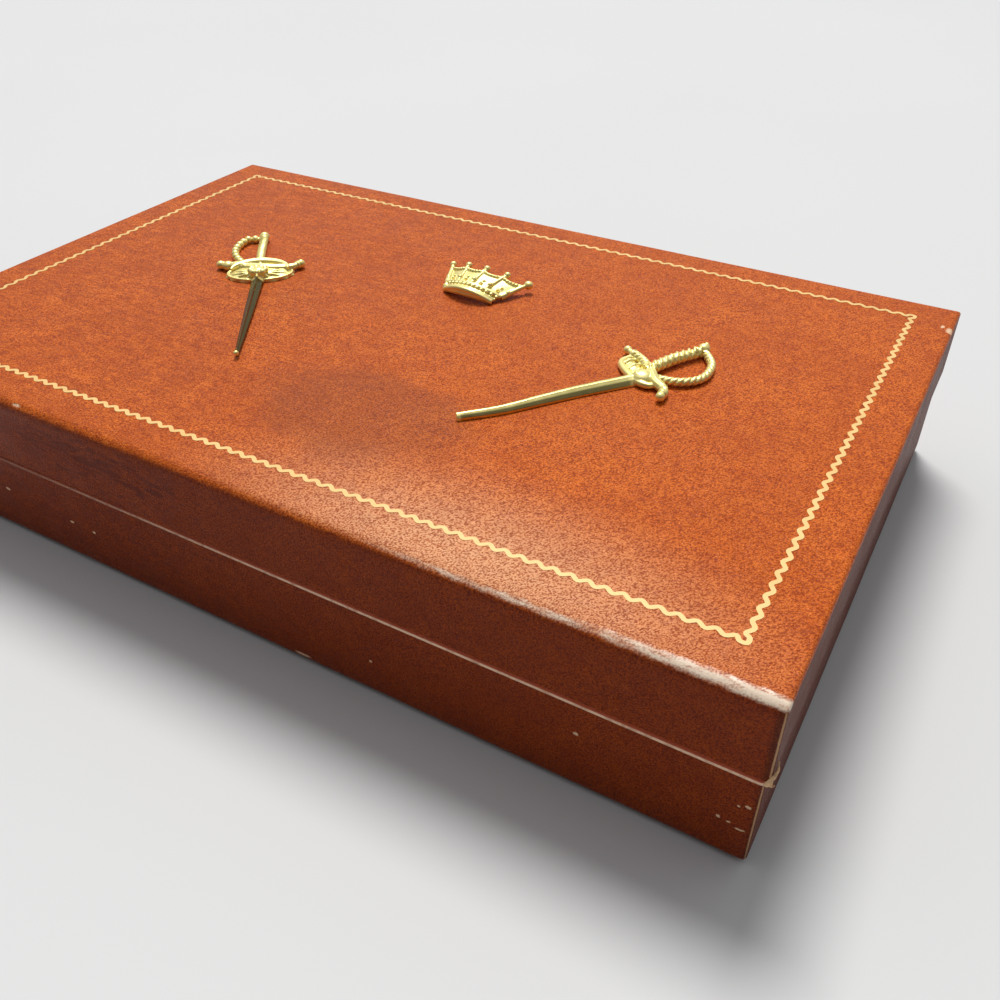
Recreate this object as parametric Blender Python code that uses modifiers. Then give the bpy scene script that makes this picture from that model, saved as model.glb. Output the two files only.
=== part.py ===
"""Valet box: a wooden box covered in leatherette, with a hinged lid.

The lid carries three flat-backed brass castings, a smallsword, a sabre and
a coronet, inside a stamped gold zigzag border. Inside are velvet
compartments with ring rolls, and a padded panel under the lid.
Metres, +Z up, origin under the middle of the box, long front side at -Y.
"""
from math import atan2, cos, pi, radians, sin

import bmesh
import bpy
from mathutils import Matrix, Vector

# Outer size of the box
box_length = 0.280
box_depth = 0.178
box_height = 0.0508
joint_height = 0.0291
reveal = 0.0008

# Stock that the box is made from
wrap_thickness = 0.0006
board_thickness = 0.0048
bottom_board_thickness = 0.0030
top_board_thickness = 0.0030
liner_thickness = 0.0008
felt_thickness = 0.0008
hem_width = 0.012
felt_margin = 0.005

# Clearances, how far a cutter runs past what it cuts, and where points become one
seat_gap = 0.0003
rim_gap = 0.0003
overrun = 0.002
weld_distance = 0.000001

# Worn and turned edges of the covering
lid_long_edge_radius = 0.0026
lid_short_edge_radius = 0.0014
upright_edge_radius = 0.0010
base_rim_radius = 0.0014
lid_rim_radius = 0.0006
base_foot_radius = 0.0014

# Compartments of the base
divider_thickness = 0.0030
divider_height = 0.0170
divider_round = 0.0012
long_divider_x = -0.0300
front_divider_x = 0.0520
cross_divider_y = 0.0280
liner_drop = 0.0005
roll_count = 3
roll_crown = 0.0012
roll_end_round = 0.0050

# Padded panel under the lid
pad_thickness = 0.0030
pad_crown = 0.0025

# Butt hinges let into the rims
hinge_inset = 0.0550
hinge_width = 0.0240
leaf_thickness = wrap_thickness
leaf_reach = 0.0052
barrel_radius = 0.0015
pin_radius = 0.0005
pin_head_radius = 0.0010
pin_head_length = 0.0005
screw_spread = 0.0140
screw_head_radius = 0.0009
screw_head_depth = 0.0004
screw_shank_radius = 0.0004
screw_length = 0.0045

# Gold border
border_inset = 0.0121
border_pitch = 0.0039
border_swing = 0.0015
border_line = 0.00105
foil_thickness = 0.00015
foil_gap = 0.0001

# Pegs on the backs of the castings, and how far a casting's lumps run into each other
peg_radius = 0.0008
casting_merge = 0.0003

# Smallsword casting, placed by the middle of its shell guard
smallsword_length = 0.0887
smallsword_x = -0.0624
smallsword_y = 0.0044
smallsword_turn = radians(-55.5)
smallsword_blade_width = 0.0037
smallsword_point_width = 0.0010
smallsword_blade_thickness = 0.0020
smallsword_blade_rise = 0.0022
smallsword_grip_radius = 0.0015
smallsword_pommel_radius = 0.0018
smallsword_button_radius = 0.0009
smallsword_bow_radius = 0.0010
smallsword_quillon_radius = 0.0012
smallsword_quillon_end_radius = 0.0015
smallsword_shell_length = 0.0125
smallsword_shell_width = 0.0220
smallsword_shell_height = 0.0024
smallsword_rim_radius = 0.0013
smallsword_rim_rise = 0.0022
smallsword_boss_radius = 0.0027
smallsword_rope_pitch = 0.0042
smallsword_grip_pitch = 0.0084

# Sabre casting, placed by the middle of its cross guard
sabre_length = 0.0775
sabre_x = 0.0733
sabre_y = 0.0024
sabre_turn = radians(230.4)
sabre_blade_width = 0.0029
sabre_point_width = 0.0027
sabre_blade_thickness = 0.0022
sabre_blade_rise = 0.0011
sabre_grip_radius = 0.0018
sabre_pommel_radius = 0.0018
sabre_finial_radius = 0.0009
sabre_bow_radius = 0.0012
sabre_guard_radius = 0.0014
sabre_guard_end_radius = 0.0010
sabre_langet_radius = 0.0010
sabre_block_radius = 0.0030
sabre_shell_length = 0.0056
sabre_shell_width = 0.0136
sabre_shell_height = 0.0011
sabre_rope_pitch = 0.0046
sabre_grip_pitch = 0.0092

# Coronet casting, placed by the middle of its band
crown_x = 0.0052
crown_y = 0.0210
crown_turn = radians(-3)
crown_band_width = 0.0168
crown_tip_spread = 0.0290
crown_height = 0.0132
crown_dip = 0.0020
crown_wall = 0.0010
crown_band_bulge = 0.0034
crown_tip_bulge = 0.0028
crown_tip_lift = 0.0022
crown_end_rise = 0.0004
crown_band_radius = 0.0010
crown_bead_radius = 0.0008
crown_ball_radius = 0.0010
crown_band_spacing = 0.0032

# Depth of the grooves in a cast rope and a bound grip, as shares of their radius
rope_groove_share = 0.3
grip_groove_share = 0.2

# Levels, from the table up
hem_bottom = felt_thickness + seat_gap
board_bottom = hem_bottom + wrap_thickness + seat_gap
bottom_board_top = board_bottom + bottom_board_thickness
base_rim = joint_height - rim_gap / 2
base_board_top = base_rim - wrap_thickness - seat_gap
lid_rim = joint_height + rim_gap / 2
lid_board_bottom = lid_rim + wrap_thickness + seat_gap
top_board_top = box_height - wrap_thickness - seat_gap
top_board_bottom = top_board_top - top_board_thickness
lid_board_top = top_board_bottom - seat_gap
liner_floor = bottom_board_top + seat_gap
liner_top = base_rim - liner_drop
compartment_floor = liner_floor + liner_thickness

# Half sizes of the nested walls, along X and along Y
lid_half = Vector((box_length / 2, box_depth / 2))
base_half = lid_half - Vector((reveal, reveal))
wall_stack = wrap_thickness + seat_gap + board_thickness


def inward(half, distance):
    """Gives the half sizes of a rectangle that lies this far inside another."""
    return Vector((half.x - distance, half.y - distance))


base_board_outer = inward(base_half, wrap_thickness + seat_gap)
base_board_inner = inward(base_half, wall_stack)
liner_outer = inward(base_board_inner, seat_gap)
liner_inner = inward(liner_outer, liner_thickness)
lid_board_outer = inward(lid_half, wrap_thickness + seat_gap)
lid_board_inner = inward(lid_half, wall_stack)
lid_liner_outer = inward(lid_board_inner, seat_gap)
lid_liner_inner = inward(lid_liner_outer, liner_thickness)

# Hinge line, behind the lid, and the middle of each hinge along it
hinge_x = box_length / 2 - hinge_inset
hinge_y = box_depth / 2 + barrel_radius + seat_gap
hinge_z = joint_height

# Every casting rests on the lid at this level
lid_seat = box_height + seat_gap
peg_foot = top_board_bottom + seat_gap

# Colours and finishes
leatherette = ((0.48, 0.10, 0.03), 0.35, 0.0)
wood = ((0.55, 0.40, 0.24), 0.8, 0.0)
velvet = ((0.10, 0.02, 0.02), 0.95, 0.0)
satin = ((0.55, 0.40, 0.18), 0.4, 0.0)
felt = ((0.03, 0.04, 0.03), 0.95, 0.0)
brass = ((0.83, 0.69, 0.33), 0.25, 1.0)
gold_foil = ((0.93, 0.75, 0.32), 0.4, 1.0)


def clear_scene():
    for item in list(bpy.data.objects):
        bpy.data.objects.remove(item, do_unlink=True)


def new_collection(name):
    collection = bpy.data.collections.new(name)
    bpy.context.scene.collection.children.link(collection)
    return collection


def add(name, mesh, group):
    piece = bpy.data.objects.new(name, mesh)
    group.objects.link(piece)
    return piece


def finish(piece, name, look):
    """Names a piece, moves it to the parts and gives it its material."""
    piece.name = name
    piece.data.name = name
    for group in list(piece.users_collection):
        group.objects.unlink(piece)
    parts.objects.link(piece)
    colour, roughness, metallic = look
    material = bpy.data.materials.new(name + "_finish")
    material.use_nodes = True
    shader = material.node_tree.nodes["Principled BSDF"]
    shader.inputs["Base Color"].default_value = (*colour, 1)
    shader.inputs["Roughness"].default_value = roughness
    shader.inputs["Metallic"].default_value = metallic
    piece.data.materials.clear()
    piece.data.materials.append(material)
    return piece


def bake(piece):
    """Applies a piece's modifiers to its mesh."""
    graph = bpy.context.evaluated_depsgraph_get()
    mesh = bpy.data.meshes.new_from_object(piece.evaluated_get(graph))
    piece.modifiers.clear()
    piece.data = mesh
    return piece


def as_mesh(curve):
    """Turns a curve object into a closed mesh object in the same place."""
    graph = bpy.context.evaluated_depsgraph_get()
    mesh = bpy.data.meshes.new_from_object(curve.evaluated_get(graph))
    shape = bmesh.new()
    shape.from_mesh(mesh)
    bmesh.ops.remove_doubles(shape, verts=shape.verts, dist=weld_distance)
    bmesh.ops.recalc_face_normals(shape, faces=shape.faces)
    shape.to_mesh(mesh)
    shape.free()
    piece = add(curve.name, mesh, cutters)
    piece.matrix_world = curve.matrix_world.copy()
    bpy.data.objects.remove(curve)
    return piece


def box(name, low, high, radii=None):
    """Makes a box; radii rounds its edges by kind, such as long_top."""
    low, high = Vector(low), Vector(high)
    size, middle = high - low, (high + low) / 2
    shape = bmesh.new()
    place = Matrix.Translation(middle) @ Matrix.Diagonal((*size, 1))
    bmesh.ops.create_cube(shape, size=1, matrix=place)
    mesh = bpy.data.meshes.new(name)
    largest = max(radii.values()) if radii else 0
    if largest > 0:
        weight = shape.edges.layers.float.new("bevel_weight_edge")
        for edge in shape.edges:
            run = edge.verts[1].co - edge.verts[0].co
            level = "top" if (edge.verts[0].co + edge.verts[1].co).z > 2 * middle.z else "bottom"
            kind = "upright"
            if abs(run.z) <= max(abs(run.x), abs(run.y)):
                kind = ("long_" if abs(run.x) > abs(run.y) else "short_") + level
            edge[weight] = max(radii.get(kind, 0), 0) / largest
    shape.to_mesh(mesh)
    shape.free()
    piece = add(name, mesh, cutters)
    if largest > 0:
        bevel = piece.modifiers.new("Worn edges", "BEVEL")
        bevel.limit_method = "WEIGHT"
        bevel.width = largest
        bevel.segments = 3
    return piece


def as_cutter(piece):
    piece.hide_render = True
    piece.display_type = "WIRE"
    return piece


def cut(piece, cutter):
    boolean = piece.modifiers.new("Cut " + cutter.name, "BOOLEAN")
    boolean.operation = "DIFFERENCE"
    boolean.object = as_cutter(cutter)


def join(pieces):
    """Fuses baked pieces into the first one and removes the others."""
    first = bake(pieces[0])
    for other in pieces[1:]:
        bake(other)
        union = first.modifiers.new("Join " + other.name, "BOOLEAN")
        union.operation = "UNION"
        union.object = other
        bake(first)
        bpy.data.objects.remove(other)
    return first


def trim(piece, cutter):
    """Takes a cutter out of a baked piece at once and removes the cutter."""
    cut(piece, cutter)
    bake(piece)
    bpy.data.objects.remove(cutter)
    return piece


def turned(name, profile, steps):
    """Spins a profile of (radius, height) points, from top to bottom, about Z."""
    mesh = bpy.data.meshes.new(name)
    points = [(radius, 0, height) for radius, height in profile]
    mesh.from_pydata(points, [(i, i + 1) for i in range(len(points) - 1)], [])
    piece = add(name, mesh, cutters)
    screw = piece.modifiers.new("Turn", "SCREW")
    screw.steps = steps
    screw.render_steps = steps
    screw.use_merge_vertices = True
    screw.merge_threshold = weld_distance
    return piece


def cylinder(name, radius, start, end, sides):
    """Makes a cylinder between two points."""
    start, end = Vector(start), Vector(end)
    run = end - start
    turn = Vector((0, 0, 1)).rotation_difference(run).to_matrix().to_4x4()
    shape = bmesh.new()
    bmesh.ops.create_cone(
        shape, cap_ends=True, segments=sides, radius1=radius, radius2=radius,
        depth=run.length, matrix=Matrix.Translation((start + end) / 2) @ turn)
    mesh = bpy.data.meshes.new(name)
    shape.to_mesh(mesh)
    shape.free()
    return add(name, mesh, cutters)


def ball(name, centre, radii, columns=8, rows=5):
    """Makes a ball, or an egg when its three radii differ."""
    shape = bmesh.new()
    place = Matrix.Translation(centre) @ Matrix.Diagonal((*radii, 1))
    bmesh.ops.create_uvsphere(
        shape, u_segments=columns, v_segments=rows, radius=1, matrix=place)
    mesh = bpy.data.meshes.new(name)
    shape.to_mesh(mesh)
    shape.free()
    return add(name, mesh, cutters)


def round_ball(name, centre, radius):
    return ball(name, centre, (radius, radius, radius))


def smooth_route(points, pieces):
    """Samples a smooth curve through points, with so many pieces in each span."""
    points = [Vector(point) for point in points]
    ends = [2 * points[0] - points[1]] + points + [2 * points[-1] - points[-2]]
    route = []
    for i in range(1, len(ends) - 2):
        before, start, end, after = ends[i - 1:i + 3]
        for step in range(pieces):
            t = step / pieces
            pull = (end - before) * t + (2 * before - 5 * start + 4 * end - after) * t ** 2
            route.append(start + (pull + (3 * start - before - 3 * end + after) * t ** 3) / 2)
    return route + [points[-1]]


def share_at(values, t):
    """Reads a list of values at a share t of its length, joining them straight."""
    place = t * (len(values) - 1)
    index = min(int(place), len(values) - 2)
    return values[index] + (values[index + 1] - values[index]) * (place - index)


def rod(name, route, radii, section=None, pitch=0):
    """Sweeps a round or given unit section along a route, twisted once a pitch."""
    curve = bpy.data.curves.new(name, "CURVE")
    curve.dimensions = "3D"
    curve.twist_mode = "Z_UP"
    curve.use_fill_caps = True
    spline = curve.splines.new("POLY")
    spline.points.add(len(route) - 1)
    run = 0
    for i, place in enumerate(route):
        run += (place - route[i - 1]).length if i else 0
        spline.points[i].co = (*place, 1)
        spline.points[i].radius = share_at(radii, i / (len(route) - 1))
        spline.points[i].tilt = 2 * pi * run / pitch if pitch else 0
    guide = None
    if section:
        outline = bpy.data.curves.new(name + "_section", "CURVE")
        outline.dimensions = "2D"
        loop = outline.splines.new("POLY")
        loop.points.add(len(section) - 1)
        for i, (across, up) in enumerate(section):
            loop.points[i].co = (across, up, 0, 1)
        loop.use_cyclic_u = True
        guide = add(name + "_section", outline, cutters)
        curve.bevel_mode = "OBJECT"
        curve.bevel_object = guide
    else:
        curve.bevel_depth = 1
        curve.bevel_resolution = 1
    piece = as_mesh(add(name, curve, cutters))
    if guide:
        bpy.data.objects.remove(guide)
    return piece


def rope_section(strands, groove_share):
    """Gives the unit outline of a cast rope with so many strands."""
    count = strands * 3
    outline = []
    for i in range(count):
        angle = 2 * pi * i / count
        reach = 1 - groove_share / 2 + groove_share / 2 * cos(strands * angle)
        outline.append((reach * cos(angle), reach * sin(angle)))
    return outline


def flat_backed(piece, reach):
    """Cuts a casting flat at its own zero level, on its back."""
    floor = box("back", (-reach, -reach, -reach), (reach, reach, 0))
    return trim(piece, floor)


def on_lid(piece, x, y, turn):
    piece.location = (x, y, lid_seat)
    piece.rotation_euler = (0, 0, turn)


def place_on_lid(x, y, turn, point):
    """Gives the place on the box of a point in a casting's own frame."""
    return Matrix.Translation((x, y, 0)) @ Matrix.Rotation(turn, 4, "Z") @ Vector((*point, 0))


def peg(name, point, top):
    """Makes the peg of a casting, in the casting's frame, from its body down."""
    return cylinder(name, peg_radius, (*point, peg_foot - lid_seat), (*point, top), 12)


def base_wrap():
    radii = {"long_top": base_rim_radius, "short_top": base_rim_radius,
             "upright": upright_edge_radius,
             "long_bottom": base_foot_radius, "short_bottom": base_foot_radius}
    wrap = box("base_wrap", (*-base_half, hem_bottom), (*base_half, base_rim), radii)
    inside = inward(base_half, wrap_thickness)
    cavity_radii = {kind: radius - wrap_thickness for kind, radius in radii.items()}
    cut(wrap, box("base_cavity", (*-inside, hem_bottom + wrap_thickness),
                  (*inside, base_rim - wrap_thickness), cavity_radii))
    hem = inward(base_half, hem_width)
    cut(wrap, box("hem_opening", (*-hem, hem_bottom - overrun),
                  (*hem, board_bottom + overrun)))
    cut(wrap, box("base_mouth", (*-base_board_inner, base_board_top - overrun),
                  (*base_board_inner, base_rim + overrun)))
    finish(wrap, "base_wrap", leatherette)
    return wrap


def lid_wrap():
    radii = {"long_top": lid_long_edge_radius, "short_top": lid_short_edge_radius,
             "upright": upright_edge_radius,
             "long_bottom": lid_rim_radius, "short_bottom": lid_rim_radius}
    wrap = box("lid_wrap", (*-lid_half, lid_rim), (*lid_half, box_height), radii)
    inside = inward(lid_half, wrap_thickness)
    cavity_radii = {kind: radius - wrap_thickness for kind, radius in radii.items()}
    cut(wrap, box("lid_cavity", (*-inside, lid_rim + wrap_thickness),
                  (*inside, box_height - wrap_thickness), cavity_radii))
    cut(wrap, box("lid_mouth", (*-lid_board_inner, lid_rim - overrun),
                  (*lid_board_inner, lid_board_bottom + overrun)))
    finish(wrap, "lid_wrap", leatherette)
    return wrap


def wall_boards(side, outer, inner, bottom, top, foot, rim):
    """Makes the four wall boards; the short ones fit between the long ones."""
    radii = {"long_bottom": foot, "short_bottom": foot, "long_top": rim, "short_top": rim}
    boards = {}
    for name, low, high in (
            ("front", (-outer.x, -outer.y), (outer.x, -inner.y)),
            ("back", (-outer.x, inner.y), (outer.x, outer.y)),
            ("left", (-outer.x, seat_gap - inner.y), (-inner.x, inner.y - seat_gap)),
            ("right", (inner.x, seat_gap - inner.y), (outer.x, inner.y - seat_gap))):
        board = box(name, (*low, bottom), (*high, top), radii)
        boards[name] = finish(board, side + "_" + name + "_board", wood)
    return boards


def bottom_board():
    edge = inward(base_board_inner, seat_gap)
    board = box("bottom", (*-edge, board_bottom), (*edge, bottom_board_top))
    return finish(board, "base_bottom_board", wood)


def top_board():
    under = wrap_thickness + seat_gap
    radii = {"long_top": lid_long_edge_radius - under,
             "short_top": lid_short_edge_radius - under}
    board = box("top", (*-lid_board_outer, top_board_bottom),
                (*lid_board_outer, top_board_top), radii)
    return finish(board, "lid_top_board", wood)


def felt_sheet():
    edge = inward(base_half, felt_margin)
    sheet = box("felt", (*-edge, 0), (*edge, felt_thickness))
    return finish(sheet, "bottom_felt", felt)


def base_liner():
    tray = box("liner", (*-liner_outer, liner_floor), (*liner_outer, liner_top))
    cut(tray, box("liner_hollow", (*-liner_inner, compartment_floor),
                  (*liner_inner, liner_top + overrun)))
    return finish(tray, "base_liner", velvet)


def lid_wall_liner():
    sleeve = box("lid_liner", (*-lid_liner_outer, lid_rim + liner_drop),
                 (*lid_liner_outer, lid_board_top))
    cut(sleeve, box("lid_liner_hollow", (*-lid_liner_inner, lid_rim - overrun),
                    (*lid_liner_inner, lid_board_top + overrun)))
    return finish(sleeve, "lid_wall_liner", velvet)


def lid_pad():
    """Makes the satin panel, crowned downwards between its edges."""
    half = inward(lid_liner_inner, seat_gap)
    columns, rows = 20, 12
    shape = bmesh.new()
    place = Matrix.Translation((0, 0, lid_board_top - pad_thickness))
    place = place @ Matrix.Diagonal((half.x, half.y, 1, 1))
    bmesh.ops.create_grid(shape, x_segments=columns, y_segments=rows, size=1, matrix=place)
    for point in shape.verts:
        across, along = point.co.x / half.x, point.co.y / half.y
        point.co.z -= pad_crown * (1 - across ** 4) * (1 - along ** 4)
    edges = [edge for edge in shape.edges if edge.is_boundary]
    sides = bmesh.ops.extrude_edge_only(shape, edges=edges)["geom"]
    for item in sides:
        if isinstance(item, bmesh.types.BMVert):
            item.co.z = lid_board_top
    rim = [edge for edge in shape.edges if edge.is_boundary]
    bmesh.ops.contextual_create(shape, geom=rim)
    bmesh.ops.recalc_face_normals(shape, faces=shape.faces)
    mesh = bpy.data.meshes.new("pad")
    shape.to_mesh(mesh)
    shape.free()
    return finish(add("pad", mesh, cutters), "lid_pad", satin)


def divider(name, low, high):
    bottom = compartment_floor + seat_gap
    radii = {"long_top": divider_round, "short_top": divider_round}
    wall = box(name, (*low, bottom), (*high, bottom + divider_height), radii)
    return finish(wall, name, velvet)


def dividers():
    half = divider_thickness / 2
    right = liner_inner.x - seat_gap
    front, back = seat_gap - liner_inner.y, liner_inner.y - seat_gap
    divider("long_divider", (long_divider_x - half, front), (long_divider_x + half, back))
    divider("cross_divider", (long_divider_x + half + seat_gap, cross_divider_y - half),
            (right, cross_divider_y + half))
    divider("front_divider", (front_divider_x - half, front),
            (front_divider_x + half, cross_divider_y - half - seat_gap))


def ring_rolls():
    """Makes the ring rolls side by side behind the cross divider."""
    start = long_divider_x + divider_thickness / 2 + seat_gap
    end = liner_inner.x - seat_gap
    front = cross_divider_y + divider_thickness / 2 + seat_gap
    back = liner_inner.y - seat_gap
    spacing = (back - front + seat_gap) / roll_count
    radius = (spacing - seat_gap) / 2
    half = (end - start) / 2
    for i in range(roll_count):
        profile = [(0, half)]
        for step in range(4):
            angle = pi / 2 * step / 3
            profile.append((radius - roll_crown - roll_end_round * (1 - sin(angle)),
                            half - roll_end_round * (1 - cos(angle))))
        profile.append((radius, 0))
        profile += [(reach, -height) for reach, height in reversed(profile[:-1])]
        roll = turned("roll", profile, 20)
        roll.rotation_euler = (0, pi / 2, 0)
        roll.location = ((start + end) / 2, front + radius + spacing * i,
                         compartment_floor + seat_gap + radius)
        finish(roll, "ring_roll_" + str(i + 1), velvet)


def hinge_leaf(name, centre_x, side):
    """Makes one leaf; side is -1 for the base leaf and 1 for the lid leaf."""
    near = hinge_z + side * rim_gap / 2
    far = near + side * leaf_thickness
    low_z, high_z = min(near, far), max(near, far)
    outer_y = hinge_y - barrel_radius - seat_gap
    plate = box(name, (centre_x - hinge_width / 2, outer_y - leaf_reach, low_z),
                (centre_x + hinge_width / 2, outer_y, high_z))
    third = hinge_width / 3
    bits = [plate]
    for index in ((0, 2) if side < 0 else (1,)):
        start = centre_x - hinge_width / 2 + third * index
        start += seat_gap / 2 if index else 0
        end = centre_x - hinge_width / 2 + third * (index + 1)
        end -= seat_gap / 2 if index < 2 else 0
        bits.append(box("tab", (start, outer_y - leaf_thickness, low_z),
                        (end, hinge_y - pin_radius - seat_gap, high_z)))
        bits.append(cylinder("knuckle", barrel_radius, (start, hinge_y, hinge_z),
                             (end, hinge_y, hinge_z), 16))
    leaf = join(bits)
    bore = cylinder("bore", pin_radius + seat_gap,
                    (centre_x - hinge_width, hinge_y, hinge_z),
                    (centre_x + hinge_width, hinge_y, hinge_z), 12)
    return trim(leaf, bore)


def screw_profile(clearance, tail):
    """Gives a countersunk screw's profile, or with clearance its hole's."""
    head = screw_head_radius + clearance
    shank = screw_shank_radius + clearance
    return [(0, tail), (head, tail), (head, -clearance), (shank, -screw_head_depth - clearance),
            (shank, -screw_length - tail), (0, -screw_length - clearance - tail)]


def hinge_screws(place, centre_x, side, leaf, board):
    """Lets two screws through a leaf into the board that carries it."""
    face = hinge_z + side * rim_gap / 2
    screw_y = hinge_y - barrel_radius - seat_gap - leaf_reach / 2
    turn = (0, 0, 0) if side < 0 else (pi, 0, 0)
    for index in range(2):
        where = (centre_x + screw_spread * (index - 1 / 2), screw_y, face)
        hole = turned("screw_hole", screw_profile(seat_gap / 2, seat_gap), 8)
        hole.location = where
        hole.rotation_euler = turn
        cut(leaf, hole)
        cut(board, hole)
        screw = turned("screw", screw_profile(0, 0), 8)
        screw.location = where
        screw.rotation_euler = turn
        finish(screw, place + "_screw_" + str(index + 1), brass)


def hinges(base_board, lid_board, wraps):
    notch_y = hinge_y - barrel_radius - seat_gap - leaf_reach - seat_gap
    notch_rise = rim_gap / 2 + leaf_thickness + seat_gap
    for name, centre_x in (("left", -hinge_x), ("right", hinge_x)):
        half = hinge_width / 2 + seat_gap
        notch = box("notch", (centre_x - half, notch_y, hinge_z - notch_rise),
                    (centre_x + half, hinge_y + overrun, hinge_z + notch_rise))
        for wrap in wraps:
            cut(wrap, notch)
        for side, body, board in ((-1, "base", base_board), (1, "lid", lid_board)):
            place = body + "_" + name
            leaf = hinge_leaf("leaf", centre_x, side)
            hinge_screws(place, centre_x, side, leaf, board)
            finish(leaf, place + "_hinge_leaf", brass)
        reach = hinge_width / 2 + seat_gap
        end = reach + pin_head_length
        pin = turned("pin", [(0, end), (pin_head_radius, end), (pin_head_radius, reach),
                             (pin_radius, reach), (pin_radius, -reach),
                             (pin_head_radius, -reach), (pin_head_radius, -end), (0, -end)], 10)
        pin.rotation_euler = (0, pi / 2, 0)
        pin.location = (centre_x, hinge_y, hinge_z)
        finish(pin, name + "_hinge_pin", brass)


def zigzag_line():
    """Gives the border's closed middle line, with a blunt peak out at each corner."""
    half = inward(lid_half, border_inset)
    corners = [Vector((-half.x, -half.y)), Vector((half.x, -half.y)),
               Vector((half.x, half.y)), Vector((-half.x, half.y))]
    line = []
    corner_blunt_share = 0.5
    for i, corner in enumerate(corners):
        run = corners[(i + 1) % 4] - corner
        waves = round(run.length / border_pitch)
        out = Vector((run.y, -run.x)).normalized() * border_swing / 2
        before = corner - corners[i - 1]
        out_before = Vector((before.y, -before.x)).normalized() * border_swing / 2
        line.append(corner + out_before + out * (1 - corner_blunt_share))
        line.append(corner + out + out_before * (1 - corner_blunt_share))
        for step in range(1, 2 * waves):
            line.append(corner + run * step / (2 * waves) + (-out if step % 2 else out))
    return line


def gold_border():
    """Makes the flat ribbon of the border, mitred at each turn."""
    line = zigzag_line()
    count = len(line)
    points = []
    for i, place in enumerate(line):
        ahead = (line[(i + 1) % count] - place).normalized()
        behind = (place - line[i - 1]).normalized()
        along = (ahead + behind).normalized()
        mitre = Vector((along.y, -along.x)) * border_line / 2 / along.dot(ahead)
        points += [place + mitre, place - mitre]
    top = box_height + foil_gap
    faces = []
    for i in range(count):
        j = (i + 1) % count
        faces.append((2 * i, 2 * j, 2 * j + 1, 2 * i + 1))
    mesh = bpy.data.meshes.new("border")
    mesh.from_pydata([(*point, top) for point in points], [], faces)
    ribbon = add("border", mesh, cutters)
    thick = ribbon.modifiers.new("Foil", "SOLIDIFY")
    thick.thickness = foil_thickness
    thick.offset = 1
    return finish(ribbon, "gold_border", gold_foil)


def in_sizes(shares, size, rise):
    """Turns route points given as shares of a size into places at a height."""
    return [Vector((across * size, along * size, rise)) for across, along in shares]


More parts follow.
